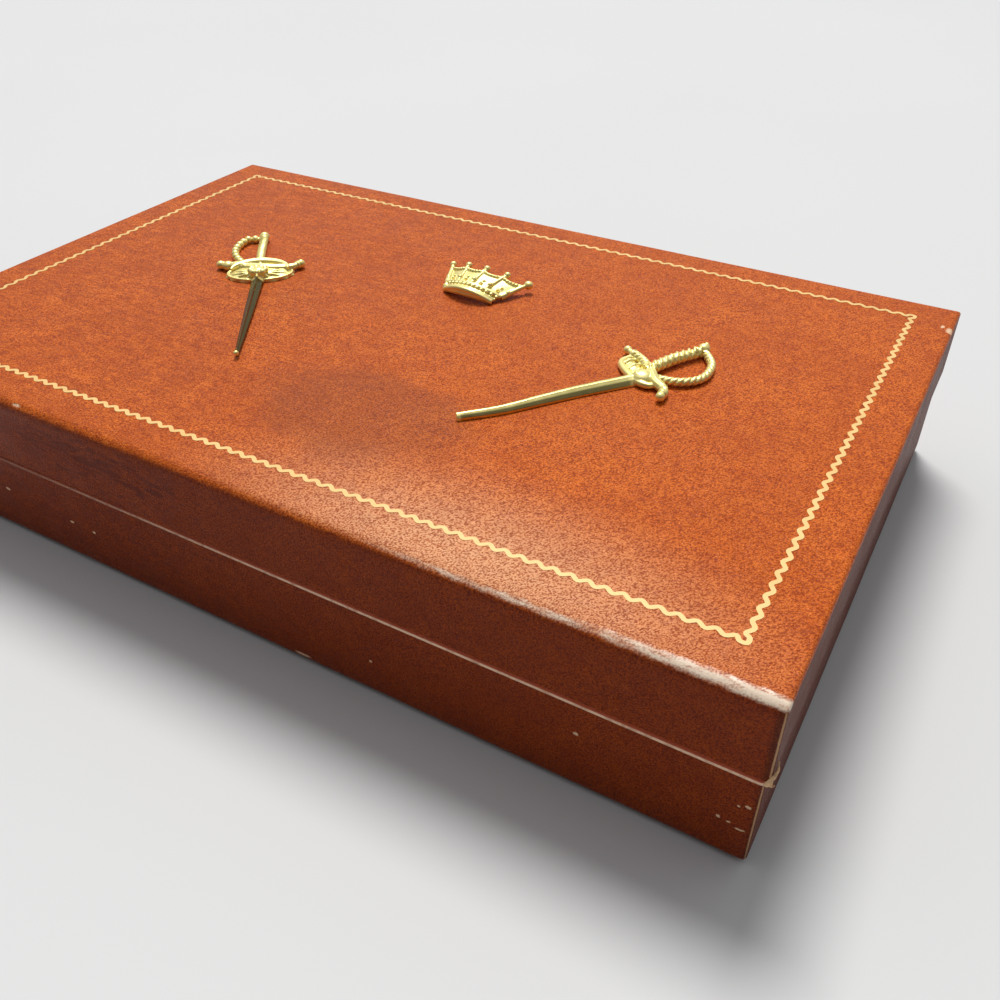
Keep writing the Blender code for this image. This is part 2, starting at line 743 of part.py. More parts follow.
def smallsword():
    """Casts the smallsword: +X runs from the shell guard to the point."""
    size = smallsword_length
    root_share, point_share = 0.05, 0.625
    grip_shares = [(-0.03, -0.006), (-0.16, -0.013), (-0.30, -0.018)]
    pommel_share = (-0.315, -0.018)
    bow_shares = [(-0.300, -0.026), (-0.306, -0.078), (-0.243, -0.110), (-0.168, -0.112),
                  (-0.092, -0.080), (-0.040, -0.030)]
    quillon_shares = [(-0.064, -0.150), (-0.045, -0.095), (-0.020, 0.0),
                      (-0.015, 0.095), (-0.047, 0.145)]
    grip_swell_shares = (0.8, 1, 1.05, 0.9, 0.7)
    quillon_swell_shares = (0.7, 1.2, 1.5, 1.2, 0.7)
    rim_swell_shares = (0.4, 0.9, 1, 0.9, 0.4)
    blade_reach = (point_share - root_share) * size
    blade = bmesh.new()
    turn = Matrix.Rotation(pi / 2, 4, "Y")
    flat = Matrix.Diagonal((1, 1, smallsword_blade_thickness / smallsword_blade_width, 1))
    middle = Matrix.Translation(((point_share + root_share) * size / 2, 0, smallsword_blade_rise))
    bmesh.ops.create_cone(
        blade, cap_ends=True, segments=4, radius1=smallsword_blade_width / 2,
        radius2=smallsword_point_width / 2, depth=blade_reach, matrix=middle @ flat @ turn)
    mesh = bpy.data.meshes.new("blade")
    blade.to_mesh(mesh)
    blade.free()
    shell = ball("shell", (0, 0, 0), (smallsword_shell_length / 2, smallsword_shell_width / 2,
                                      smallsword_shell_height), 28, 8)
    flute_depth_share, flutes = 0.10, 14
    for point in shell.data.vertices:
        angle = atan2(point.co.y / smallsword_shell_width, point.co.x / smallsword_shell_length)
        fade = 1 - point.co.z / smallsword_shell_height
        swell = 1 + flute_depth_share * fade * cos(flutes * angle)
        point.co.x *= swell
        point.co.y *= swell
    rim_reach_share, rim_arc, rim_steps = 0.82, radians(184), 14
    rim_route = []
    for i in range(rim_steps + 1):
        angle = pi + rim_arc * (i / rim_steps - 1 / 2)
        spot = Vector((smallsword_shell_length * cos(angle), smallsword_shell_width * sin(angle), 0))
        rim_route.append(spot * rim_reach_share / 2 + Vector((0, 0, smallsword_rim_rise)))
    rim = rod("rim", rim_route, [smallsword_rim_radius * share for share in rim_swell_shares])
    grip_radius = smallsword_grip_radius
    grip = rod("grip", smooth_route(in_sizes(grip_shares, size, grip_radius), 7),
               [grip_radius * share for share in grip_swell_shares],
               rope_section(4, grip_groove_share), smallsword_grip_pitch)
    bow = rod("bow", smooth_route(in_sizes(bow_shares, size, smallsword_bow_radius), 5),
              [smallsword_bow_radius] * 2, rope_section(3, rope_groove_share),
              smallsword_rope_pitch)
    quillon = rod("quillon", smooth_route(
        in_sizes(quillon_shares, size, smallsword_quillon_radius), 4),
        [smallsword_quillon_radius * share for share in quillon_swell_shares])
    pommel_place = in_sizes([pommel_share], size, grip_radius)[0]
    pommel = round_ball("pommel", pommel_place, smallsword_pommel_radius)
    step = smallsword_pommel_radius + smallsword_button_radius - casting_merge
    button = round_ball("button", pommel_place - Vector((step, 0, 0)), smallsword_button_radius)
    boss = round_ball("boss", (smallsword_boss_radius, 0, smallsword_blade_rise),
                      smallsword_boss_radius)
    ends = [round_ball("quillon_end", (along * size, across * size, smallsword_quillon_radius),
                       smallsword_quillon_end_radius)
            for along, across in (quillon_shares[0], quillon_shares[-1])]
    blade = add("blade", mesh, cutters)
    casting = join([shell, boss, blade, grip, quillon, bow, pommel, button] + ends + [rim])
    flat_backed(casting, size)
    return casting


def sabre():
    """Casts the sabre: +X runs from the cross guard to the blunt point."""
    size = sabre_length
    blade_shares = [(0.02, 0.002), (0.24, 0.002), (0.38, 0.008), (0.53, 0.016), (0.683, 0.003)]
    grip_shares = [(-0.020, -0.030), (-0.15, -0.066), (-0.270, -0.083)]
    bow_shares = [(-0.284, -0.078), (-0.259, 0.008), (-0.205, 0.066), (-0.149, 0.085),
                  (-0.085, 0.068), (-0.030, 0.020)]
    guard_shares = [(-0.031, -0.189), (-0.044, -0.101), (-0.036, -0.030), (-0.018, 0.040),
                    (-0.018, 0.105), (0.013, 0.139)]
    langet_shares = [(-0.038, -0.150), (0.023, -0.129), (0.040, -0.070), (0.036, 0.010),
                     (0.015, 0.050), (-0.016, 0.060)]
    pommel_share = (-0.284, -0.088)
    grip_swell_shares = (0.8, 1, 1.05, 0.85, 0.6)
    guard_swell_share = 1.2
    block_shares = (1.2, 1, 1.5)
    shell_share, bevel_share = -0.045, 0.34
    half_thick = sabre_blade_thickness / sabre_blade_width
    blade = rod("blade", smooth_route(in_sizes(blade_shares, size, sabre_blade_rise), 4),
                [sabre_blade_width / 2, sabre_blade_width / 2, sabre_point_width / 2],
                [(1, -half_thick), (1, half_thick), (-bevel_share, half_thick),
                 (-1, -half_thick)])
    grip = rod("grip", smooth_route(in_sizes(grip_shares, size, sabre_grip_radius), 7),
               [sabre_grip_radius * share for share in grip_swell_shares],
               rope_section(4, grip_groove_share), sabre_grip_pitch)
    bow = rod("bow", smooth_route(in_sizes(bow_shares, size, sabre_bow_radius), 5),
              [sabre_bow_radius] * 2, rope_section(3, rope_groove_share), sabre_rope_pitch)
    guard = rod("guard", smooth_route(in_sizes(guard_shares, size, sabre_guard_radius), 4),
                [sabre_guard_end_radius, sabre_guard_radius,
                 sabre_guard_radius * guard_swell_share,
                 sabre_guard_radius, sabre_guard_end_radius])
    langet = rod("langet", smooth_route(in_sizes(langet_shares, size, sabre_langet_radius), 3),
                 [sabre_langet_radius, sabre_langet_radius])
    block_sizes = (sabre_block_radius, sabre_block_radius, sabre_guard_radius)
    block = ball("block", (0, 0, sabre_guard_radius),
                 [length * share for length, share in zip(block_sizes, block_shares)])
    shell = ball("shell", (0, shell_share * size, 0),
                 (sabre_shell_length / 2, sabre_shell_width / 2, sabre_shell_height), 16, 6)
    pommel_place = in_sizes([pommel_share], size, sabre_grip_radius)[0]
    pommel = round_ball("pommel", pommel_place, sabre_pommel_radius)
    step = (sabre_pommel_radius + sabre_finial_radius - casting_merge) / 2 ** 0.5
    finial = round_ball("finial", pommel_place - Vector((step, step, 0)), sabre_finial_radius)
    casting = join([block, shell, blade, guard, langet, grip, bow, pommel, finial])
    flat_backed(casting, size)
    return casting


def crown_place(t, across, proud=0):
    """Gives a place on or proud of the coronet's face, t up it and across it from -1 to 1."""
    half = proud + crown_band_width / 2 + (crown_tip_spread - crown_band_width) / 2 * t
    bulge = crown_band_bulge + (crown_tip_bulge - crown_band_bulge) * t
    along = crown_height * t + crown_dip * across ** 2
    rise = crown_end_rise + crown_tip_lift * t + bulge * (1 - across ** 2) + proud
    return Vector((half * across, along, rise))


def crown():
    """Casts the coronet: a flared half shell with five ball-tipped points."""
    points, fine, rows, valley_share = 5, 6, 4, 0.70
    columns = (points - 1) * fine
    places = []
    for column in range(columns + 1):
        across = 2 * column / columns - 1
        off_point = abs(column % fine - fine / 2) / (fine / 2)
        top = valley_share + (1 - valley_share) * off_point ** 2
        places += [crown_place(top * row / rows, across) for row in range(rows + 1)]
    faces = []
    for column in range(columns):
        for row in range(rows):
            first = column * (rows + 1) + row
            faces.append((first, first + rows + 1, first + rows + 2, first + 1))
    mesh = bpy.data.meshes.new("coronet")
    mesh.from_pydata(places, [], faces)
    shell = add("coronet", mesh, cutters)
    wall = shell.modifiers.new("Wall", "SOLIDIFY")
    wall.thickness = crown_wall
    wall.offset = -1
    bits = [shell]
    steps, proud = 11, crown_band_radius / 4
    for index in range(2):
        level = crown_band_spacing * index / crown_height
        route = [crown_place(level, 2 * i / steps - 1, proud) for i in range(steps + 1)]
        bits.append(rod("band", route, [crown_band_radius, crown_band_radius]))
    beads, bead_share = 8, 0.86
    for i in range(beads):
        across = (2 * i / (beads - 1) - 1) * bead_share
        level = crown_band_spacing / 2 / crown_height
        bits.append(round_ball("bead", crown_place(level, across, 2 * proud), crown_bead_radius))
    for i in range(points):
        bits.append(round_ball("tip", crown_place(1, 2 * i / (points - 1) - 1),
                               crown_ball_radius))
    casting = join(bits)
    flat_backed(casting, crown_tip_spread)
    return casting


def castings(pierced):
    """Places the castings on the lid and bores the lid for their pegs."""
    grip_share, sabre_grip_share = (-0.16, -0.013), (-0.15, -0.066)
    sword_grip = [share * smallsword_length for share in grip_share]
    sword_pegs = [(sword_grip, smallsword_grip_radius), ((0, 0), smallsword_blade_rise)]
    sabre_grip = [share * sabre_length for share in sabre_grip_share]
    sabre_pegs = [(sabre_grip, sabre_grip_radius), ((0, 0), sabre_blade_rise)]
    crown_pegs = []
    for side in (-1, 1):
        place = crown_place(1 / 3, side / 3)
        crown_pegs.append(((place.x, place.y), place.z - crown_wall / 2))
    for name, make, x, y, turn, pegs in (
            ("smallsword", smallsword, smallsword_x, smallsword_y, smallsword_turn, sword_pegs),
            ("sabre", sabre, sabre_x, sabre_y, sabre_turn, sabre_pegs),
            ("crown", crown, crown_x, crown_y, crown_turn, crown_pegs)):
        casting = make()
        casting = join([casting] + [peg("peg", point, top) for point, top in pegs])
        for point, top in pegs:
            place = place_on_lid(x, y, turn, point)
            hole = cylinder("peg_hole", peg_radius + seat_gap,
                            (place.x, place.y, top_board_bottom - overrun),
                            (place.x, place.y, box_height + overrun), 12)
            for piece in pierced:
                cut(piece, hole)
        on_lid(casting, x, y, turn)
        casting.data.shade_smooth()
        casting.data.set_sharp_from_angle(angle=radians(40))
        finish(casting, name, brass)


def build():
    base_cover = base_wrap()
    lid_cover = lid_wrap()
    under = wrap_thickness + seat_gap
    base_boards = wall_boards("base", base_board_outer, base_board_inner, board_bottom,
                              base_board_top, base_foot_radius - under, base_rim_radius - under)
    lid_boards = wall_boards("lid", lid_board_outer, lid_board_inner, lid_board_bottom,
                             lid_board_top, lid_rim_radius - under, 0)
    bottom_board()
    upper_board = top_board()
    felt_sheet()
    base_liner()
    lid_wall_liner()
    lid_pad()
    dividers()
    ring_rolls()
    hinges(base_boards["back"], lid_boards["back"], (base_cover, lid_cover))
    gold_border()
    castings((lid_cover, upper_board))


clear_scene()
parts = new_collection("valet_box")
cutters = new_collection("cutters")
build()
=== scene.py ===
"""Looks of the valet box: its covering, gilding, castings, hinges and lining.

Sizes are in metres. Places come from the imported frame. The swords' routes are shares of each
sword's length, as in the part's own source.
"""
import math

import bpy
from mathutils import Matrix, Vector


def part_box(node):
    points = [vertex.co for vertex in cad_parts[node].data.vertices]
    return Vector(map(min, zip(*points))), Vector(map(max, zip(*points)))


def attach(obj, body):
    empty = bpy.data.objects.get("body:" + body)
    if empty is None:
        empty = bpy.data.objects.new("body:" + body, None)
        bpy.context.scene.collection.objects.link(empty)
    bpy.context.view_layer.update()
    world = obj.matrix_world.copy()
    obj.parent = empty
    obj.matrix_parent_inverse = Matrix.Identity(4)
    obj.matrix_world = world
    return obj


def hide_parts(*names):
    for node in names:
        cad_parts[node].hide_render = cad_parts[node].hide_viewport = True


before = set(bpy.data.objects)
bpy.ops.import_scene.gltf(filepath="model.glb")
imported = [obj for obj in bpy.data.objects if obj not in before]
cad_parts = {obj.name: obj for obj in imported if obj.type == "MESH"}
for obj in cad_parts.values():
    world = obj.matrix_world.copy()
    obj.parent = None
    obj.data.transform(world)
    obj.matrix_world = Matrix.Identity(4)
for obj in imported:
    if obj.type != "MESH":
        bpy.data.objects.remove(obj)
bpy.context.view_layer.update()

# Camera, as the photograph was taken
camera_place = Vector((0.15237, -0.21007, 0.18185))
camera_aim = Vector((0.03221, -0.00413, -0.00023))
camera_roll = math.radians(-0.46)
camera_lens = 34.56
camera_sensor = 36.0

# Light: one broad lamp from behind on the left, in a softly lit room
lamp_from = Vector((-0.24, 0.42, 0.875))
lamp_spread = math.radians(22)
lamp_strength = 2.9
room_colour = (0.92, 0.95, 1.0, 1)
room_light = (0.05, 0.66)
room_light_from = -0.1
floor_size = 6

# Boxes of the covered wood, and what the covering is made to
lid_low, lid_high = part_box("lid_wrap")
base_low, base_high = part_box("base_wrap")
lid_top = lid_high.z
wrap_thickness = 0.0006
wall_depth = 0.0057
hem_width = 0.012
lid_radii = {"long_top": 0.0026, "short_top": 0.0012, "upright": 0.0010,
             "long_bottom": 0.0006, "short_bottom": 0.0006}
base_radii = {"long_top": 0.0014, "short_top": 0.0014, "upright": 0.0010,
              "long_bottom": 0.0014, "short_bottom": 0.0014}
hinge_gap = 0.0003
notch_rise = 0.00105
sliver = 0.00002
cover_cell = 0.004
cover_ripple = 0.00012
cover_ripple_size = 0.028
edge_roll = 0.0005
edge_roll_width = 0.0100
edge_roll_depth = 0.004
crisp_angle = math.radians(35)
soft_angle = math.radians(50)

# Leatherette: its grain, the painted shade that darkens its walls and more so its right end, and
# where wear shows
pebble_size = 0.00039
crease_size = 0.00044
grain_turn = math.radians(48)
painted_wall_shade = (0.50, 0.34, 0.04, 1)
painted_end_shade = (0.55, 0.60, 0.70, 1)
wall_fade = 0.0012
lid_wall_start = 0.0010
end_wall = (0.1378, 0.1388)
seam_inset = 0.0003
seam_reach = 0.00032

# The base's rim, painted with light: how far below the rim its pale painted highlight line lies,
# how far from that line it fades, and between which depths its redder band, painted as if lit,
# starts and ends
rim_line_drop = 0.00165
rim_line_fade = (0.00050, 0.00022)
painted_lit_band_low = (0.0017, 0.0013)
painted_lit_band_high = (0.0002, 0.0005)

# Worn places, each as its centre and how far it reaches: broad ones, seams, then torn spots; the
# pale front stretch is a painted sheen, and the rubbed front edge is glossier and also carries a
# painted highlight
smoked_spot = ((0.016, -0.047, lid_top), (0.040, 0.024, 0.02))
held_front = ((-0.040, lid_low.y, 0.041), (0.040, 0.003, 0.013))
painted_front_sheen = ((0.068, lid_low.y + 0.0040, lid_top), (0.090, 0.038, 0.0016))
rubbed_highlight_end = ((0.140, lid_low.y + 0.0014, lid_top - 0.0009), (0.070, 0.0025, 0.0017))
rubbed_highlight_front = ((0.085, lid_low.y + 0.0012, lid_top - 0.0010), (0.058, 0.0016, 0.0013))
corner_x, corner_y = lid_high.x, lid_low.y
seam_x, seam_y = corner_x - seam_inset, corner_y + seam_inset
lid_seams = [((x, y, 0.040), (seam_reach, seam_reach, 0.0220)) for x, y in (
    (seam_x, seam_y), (seam_x, -seam_y), (-seam_x, -seam_y))]
lid_nicks = [((0.1345, -corner_y - 0.0004, lid_top - 0.0004), (0.0062, 0.0013, 0.0014)),
             ((0.1392, 0.0726, lid_top - 0.0003), (0.0016, 0.0022, 0.0010)),
             ((0.1369, 0.0744, lid_top), (0.0007, 0.0012, 0.0008)),
             ((-0.0653, corner_y + 0.0009, lid_top - 0.0004), (0.0022, 0.0008, 0.0010))]
seam_x, seam_y = base_high.x - seam_inset, base_low.y + seam_inset
base_seams = [((x, y, 0.014), (seam_reach, seam_reach, 0.0200)) for x, y in (
    (seam_x, seam_y), (-seam_x, -seam_y))]
base_nicks = [((x, base_low.y, z), (width, 0.0008, height)) for x, z, width, height in (
    (-0.0842, 0.0160, 0.0010, 0.0006), (-0.0580, 0.0140, 0.0011, 0.0005),
    (-0.0492, 0.0136, 0.0007, 0.0006), (0.0450, 0.0118, 0.0005, 0.0005),
    (0.0994, 0.0184, 0.0008, 0.0006), (0.1318, 0.0125, 0.0007, 0.0006),
    (0.1341, 0.0121, 0.0006, 0.0004), (0.1366, 0.0112, 0.0014, 0.0004),
    (0.1353, 0.0183, 0.0005, 0.0004), (0.1372, 0.0191, 0.0007, 0.0006),
    (0.0230, 0.0028, 0.0030, 0.0006))]

# Gilt border
border_inset = 0.0121
border_pitch = 0.0039
border_swing = 0.0011
border_line = 0.0011
border_corner = 0.0010
foil_rise = 0.00003
foil_thickness = 0.00005

# Soft pieces: the satin pad in the lid and the velvet ring rolls
pad_clear = 0.0005
pad_edge_rise = 0.0030
pad_swell = 0.0023
pad_cell = 0.0050
pad_slack = 0.035
pad_gather = 0.016
pad_fold = 0.0014
swell_frames = 20
swell_pressure = 6
roll_clear = 0.00015
roll_end = 0.0034
roll_cell = 0.002
roll_pleats = 14
roll_sides = 84
roll_end_size = 0.55
roll_pleat_depth = 0.045
roll_wave = 0.012

# Castings: how long each sword is, where each lies and how it is turned, and their finish, with the
# blades' painted dark reflection
smallsword_length = 0.0887
smallsword_place = Vector((-0.0624, 0.0044, 0))
smallsword_turn = math.radians(-55.5)
sabre_length = 0.0775
sabre_place = Vector((0.0733, 0.0024, 0))
sabre_turn = math.radians(230.4)
crown_place = Vector((0.0052, 0.0210, 0))
crown_turn = math.radians(-3)
casting_seat = lid_top + 0.00005
casting_voxel = 0.00016
hollow_span = 0.0012
hollow_rounds = 24
smallsword_blade_start = 0.0072
smallsword_polish_and_painted_reflection = 1.0
sabre_blade_start = 0.0042
sabre_polish_and_painted_reflection = 0.36
polish_fade = 0.001
tip_bare = 0.0008
tip_fade = 0.0005

# The coronet's face: half its foot, its flare, height, sag, lean and arch
crown_half_foot = 0.0084
crown_flare = 0.0061
crown_height = 0.0132
crown_sag = 0.0020
crown_lift = 0.0004
crown_lean = 0.0022
crown_arch = 0.0029

# Frayed knob at the lid's corner
fray_voxel = 0.00009


def as_seen(red, green, blue):
    """Turns a colour as it is seen, from 0 to 255, into the linear one that shaders use."""
    return tuple(((value / 255 + 0.055) / 1.055) ** 2.4 if value > 10 else value / 3294
                 for value in (red, green, blue)) + (1,)


class Finish:
    """A material under construction, with short names for the nodes that it needs."""

    def __init__(self, name):
        self.material = bpy.data.materials.new(name)
        self.material.use_nodes = True
        self.tree = self.material.node_tree
        self.shader = self.tree.nodes["Principled BSDF"]
        self.place = self.node("ShaderNodeTexCoord").outputs["Object"]

    def node(self, kind, feeds=None, **settings):
        made = self.tree.nodes.new(kind)
        for name, value in settings.items():
            setattr(made, name, value)
        for name, value in (feeds or {}).items():
            self.feed(made.inputs[name], value)
        return made

    def feed(self, socket, value):
        if isinstance(value, bpy.types.NodeSocket):
            self.tree.links.new(value, socket)
        else:
            socket.default_value = value

    def noise(self, size, detail, rough, bend=0.0, place=None):
        """Cloudy noise whose blotches are about this size in metres."""
        return self.node("ShaderNodeTexNoise", {
            "Vector": place or self.place, "Scale": 1 / size, "Detail": detail,
            "Roughness": rough, "Distortion": bend}).outputs["Fac"]

    def cell_edges(self, size, place):
        """How far a point lies from the borders between cells of about this size."""
        return self.node("ShaderNodeTexVoronoi", {"Vector": place, "Scale": 1 / size},
                         feature="DISTANCE_TO_EDGE").outputs["Distance"]

    def stretched(self, along, across, up, turn=0.0):
        """The place, squeezed so that a pattern runs longer along the turned X, Y or Z."""
        return self.node("ShaderNodeMapping", {
            "Vector": self.place, "Rotation": (0, 0, turn), "Scale": (along, across, up)},
            vector_type="TEXTURE").outputs["Vector"]

    def axis(self, name):
        return self.node("ShaderNodeSeparateXYZ", {"Vector": self.place}).outputs[name]

    def sums(self, operation, *values):
        made = self.node("ShaderNodeMath", operation=operation)
        for socket, value in zip(made.inputs, values):
            self.feed(socket, value)
        return made.outputs["Value"]

    def times(self, first, second):
        return self.sums("MULTIPLY", first, second)

    def fit(self, value, low, high, to_low=0.0, to_high=1.0):
        """Moves a value softly from one range to another, held at its ends."""
        return self.node("ShaderNodeMapRange", {
            "Value": value, "From Min": low, "From Max": high, "To Min": to_low,
            "To Max": to_high}, interpolation_type="SMOOTHSTEP").outputs["Result"]

    def mix(self, share, first, second, blend="MIX"):
        made = self.node("ShaderNodeMix", data_type="RGBA", blend_type=blend)
        self.feed(made.inputs[0], share)
        self.feed(made.inputs[6], first)
        self.feed(made.inputs[7], second)
        return made.outputs[2]

    def relief(self, height, depth, strength, under=None):
        """Bumps the surface by a height from 0 to 1 that stands for this depth."""
        feeds = {"Height": height, "Distance": depth, "Strength": strength}
        if under:
            feeds["Normal"] = under
        return self.node("ShaderNodeBump", feeds).outputs["Normal"]

    def near(self, spot, reach, ragged=0.0, ragged_size=0.001, core=0.55):
        """Is 1 in the core of a spot, and 0 from its ragged edge on; reach is its half sizes."""
        place = self.place
        if ragged:
            wander = self.node("ShaderNodeTexNoise", {
                "Vector": self.place, "Scale": 1 / ragged_size, "Detail": 3.0}).outputs["Color"]
            shift = self.node("ShaderNodeVectorMath", {0: wander, 1: (0.5, 0.5, 0.5)},
                              operation="SUBTRACT").outputs["Vector"]
            place = self.node("ShaderNodeVectorMath", {
                0: shift, 1: (ragged, ragged, ragged), 2: self.place},
                operation="MULTIPLY_ADD").outputs["Vector"]
        away = self.node("ShaderNodeVectorMath", {0: place, 1: spot},
                         operation="SUBTRACT").outputs["Vector"]
        away = self.node("ShaderNodeVectorMath", {0: away, 1: tuple(1 / r for r in reach)},
                         operation="MULTIPLY").outputs["Vector"]
        distance = self.node("ShaderNodeVectorMath", {0: away}, operation="LENGTH").outputs["Value"]
        return self.fit(distance, 1.0, core)

    def set(self, **values):
        """Feeds the shader; a name such as base_color stands for Base Color."""
        for name, value in values.items():
            self.feed(self.shader.inputs[name.replace("_", " ").title().replace("Ior", "IOR")],
                      value)
        return self.material


def wear(finish, spots, colour, ragged, ragged_size, tint):
    """Lays small torn or rubbed spots over a colour; gives it with their mask."""
    worn = None
    for spot, reach in spots:
        mask = finish.near(spot, reach, ragged, ragged_size)
        worn = mask if worn is None else finish.sums("MAXIMUM", worn, mask)
    return finish.mix(worn, colour, tint), worn


def leather_grain(finish):
    """Gives the pebbles, the creases between them, and the grain that both make."""
    place = finish.stretched(1.3, 1.0, 1.1, grain_turn)
    crease = finish.fit(finish.cell_edges(crease_size, place), 0.0, 0.20)
    pebble = finish.noise(pebble_size, 1.5, 0.5, 0.2, place)
    grain = finish.times(finish.fit(pebble, 0.34, 0.62),
                         finish.fit(crease, 0.0, 1.0, 0.55, 1.0))
    return pebble, crease, grain


def leather_wrinkles(finish):
    """Fine wrinkles along the box, stronger towards the left and where the lid is held."""
    wrinkle = finish.noise(0.0024, 3.0, 0.55, 1.6, place=finish.stretched(4.0, 1.0, 1.0))
    creased = finish.fit(finish.axis("X"), 0.060, -0.050, 0.06, 0.30)
    held = finish.near(*held_front, 0.008, 0.012)
    creased = finish.sums("MAXIMUM", creased, finish.times(held, 0.75))
    return finish.times(finish.fit(wrinkle, 0.56, 0.40), creased)


def leather_colour(finish, grain, wall_level):
    """Cognac, clouded and smoked, with painted shade darkening the walls and more painted shade at
    the right end.
    """
    cloud = finish.fit(finish.noise(0.022, 3.0, 0.55, 0.8), 0.36, 0.66)
    small_cloud = finish.fit(finish.noise(0.0045, 3.0, 0.6, 0.5), 0.30, 0.70)
    light = finish.mix(small_cloud, as_seen(228, 110, 30), as_seen(240, 126, 42))
    deep = finish.mix(small_cloud, as_seen(144, 54, 4), as_seen(162, 66, 6))
    colour = finish.mix(grain, deep, light)
    colour = finish.mix(finish.fit(cloud, 0.0, 1.0, 0.22, 0.0), colour, as_seen(168, 68, 8))
    colour = finish.mix(leather_wrinkles(finish), colour, as_seen(136, 50, 6))
    smoke = finish.near(*smoked_spot, 0.02, 0.02)
    colour = finish.mix(finish.times(smoke, 0.30), colour, as_seen(112, 60, 38))
    # Painted shade: below wall_level the walls are multiplied darker
    painted_wall_shade_mask = finish.fit(finish.axis("Z"), wall_level, wall_level - wall_fade)
    colour = finish.mix(painted_wall_shade_mask, colour, finish.mix(1.0, colour, painted_wall_shade, "MULTIPLY"))
    # Painted shade: the right end wall is darkened further still
    end = finish.times(painted_wall_shade_mask, finish.fit(finish.axis("X"), *end_wall))
    return finish.mix(end, colour, finish.mix(1.0, colour, painted_end_shade, "MULTIPLY"))


def rub_and_highlight_lid(finish, colour, pebble):
    """Adds the painted sheen on the lid's front stretch and the rubbed edge with its painted
    highlight; gives the colour and the gloss and highlight mask.
    """
    # Painted sheen: a soft pale glow over the lid's front stretch, broken by the pebbles
    painted_sheen_mask = finish.near(*painted_front_sheen, core=0)
    painted_sheen_mask = finish.times(painted_sheen_mask, finish.fit(pebble, 0.36, 0.62, 0.12, 0.66))
    colour = finish.mix(painted_sheen_mask, colour, as_seen(246, 196, 150))
    streak = finish.noise(0.0009, 2.0, 0.5, place=finish.stretched(5.0, 1.0, 1.0))
    gloss_and_highlight = finish.times(rubbed_highlight_edge(finish), finish.fit(streak, 0.32, 0.64, 0.70, 1.25))
    gloss_and_highlight = finish.times(gloss_and_highlight, finish.fit(pebble, 0.30, 0.68, 0.75, 1.15))
    gloss_and_highlight = finish.fit(gloss_and_highlight, 0.10, 1.0)
    # Painted highlight: the rubbed, glossier edge is also coloured nearly white
    return finish.mix(finish.times(gloss_and_highlight, 0.90), colour, as_seen(250, 230, 204)), gloss_and_highlight


def paint_base_rim_light(finish, colour):
    """Adds the painted light on the base's rim, a lighter redder band and a pale highlight line;
    gives the colour and the highlight mask.
    """
    # Painted light on the rim: a pale painted highlight line, and above it a band coloured lighter
    # and redder as if lit
    gloss_and_highlight = rim_painted_highlight(finish)
    colour = finish.mix(rim_painted_light(finish), colour, as_seen(206, 98, 66))
    return finish.mix(gloss_and_highlight, colour, as_seen(255, 212, 176)), gloss_and_highlight


def leatherette(name, wall_level, seams, nicks):
    """Antiqued cognac leatherette: pebble grain, clouded colour, painted shade on the walls, pale
    wear, painted sheen and highlights.
    """
    finish = Finish(name)
    pebble, crease, grain = leather_grain(finish)
    colour = leather_colour(finish, grain, wall_level)
    if wall_level > lid_low.z:
        colour, gloss_and_highlight = rub_and_highlight_lid(finish, colour, pebble)
    else:
        colour, gloss_and_highlight = paint_base_rim_light(finish, colour)
    colour, seam = wear(finish, seams, colour, 0.0002, 0.0009, as_seen(196, 148, 104))
    colour, worn = wear(finish, nicks, colour, 0.0009, 0.0011, as_seen(238, 196, 158))

    rough = finish.fit(finish.noise(0.009, 3.0, 0.6), 0.3, 0.7, 0.34, 0.44)
    rough = finish.sums("ADD", rough, finish.fit(crease, 0.0, 1.0, 0.14, 0.0))
    rough = finish.sums("SUBTRACT", rough, finish.times(gloss_and_highlight, 0.14))
    rough = finish.sums("ADD", rough, finish.times(worn, 0.4))
    height = finish.sums("ADD", finish.times(crease, 0.35), pebble)
    height = finish.sums("SUBTRACT", height, worn)
    height = finish.sums("SUBTRACT", height, finish.times(seam, 0.8))
    soft = finish.relief(finish.noise(0.006, 2.0, 0.5), 0.00030, 0.5)
    depth = finish.sums("SUBTRACT", 0.9, finish.times(gloss_and_highlight, 0.6))
    fine = finish.relief(height, 0.00018, depth, soft)
    return finish.set(base_color=colour, roughness=rough, normal=fine, specular_ior_level=0.14,
                      coat_weight=finish.times(gloss_and_highlight, 0.6), coat_roughness=0.24)


def rubbed_highlight_edge(finish):
    """Where hands have rubbed the lid's front edge smooth and a pale highlight is painted on it,
    most of all at its right end.
    """
    strong = finish.near(*rubbed_highlight_end, 0.0009, 0.0020, core=0.12)
    faint = finish.near(*rubbed_highlight_front, 0.0008, 0.0022, core=0.1)
    return finish.sums("MAXIMUM", strong, finish.times(faint, 0.62))


def rim_painted_highlight(finish):
    """Where a pale highlight is painted on the base's rounded rim under the lid, more towards the
    right.
    """
    level = base_high.z - rim_line_drop
    up = finish.sums("ABSOLUTE", finish.sums("SUBTRACT", finish.axis("Z"), level))
    line = finish.fit(up, *rim_line_fade)
    broken = finish.fit(finish.noise(0.0022, 3.0, 0.6), 0.30, 0.56, 0.55, 1.0)
    line = finish.times(line, broken)
    return finish.times(line, finish.fit(finish.axis("X"), -0.110, 0.060, 0.06, 1.0))


def rim_painted_light(finish):
    """Where the base's rim, from its pale line up, is painted lighter and redder as if lit, more
    towards the right.
    """
    up = finish.axis("Z")
    low, high = ([base_high.z - drop for drop in drops] for drops in (painted_lit_band_low, painted_lit_band_high))
    band = finish.times(finish.fit(up, *low), finish.fit(up, *high))
    return finish.times(band, finish.fit(finish.axis("X"), -0.090, 0.070, 0.05, 0.8))


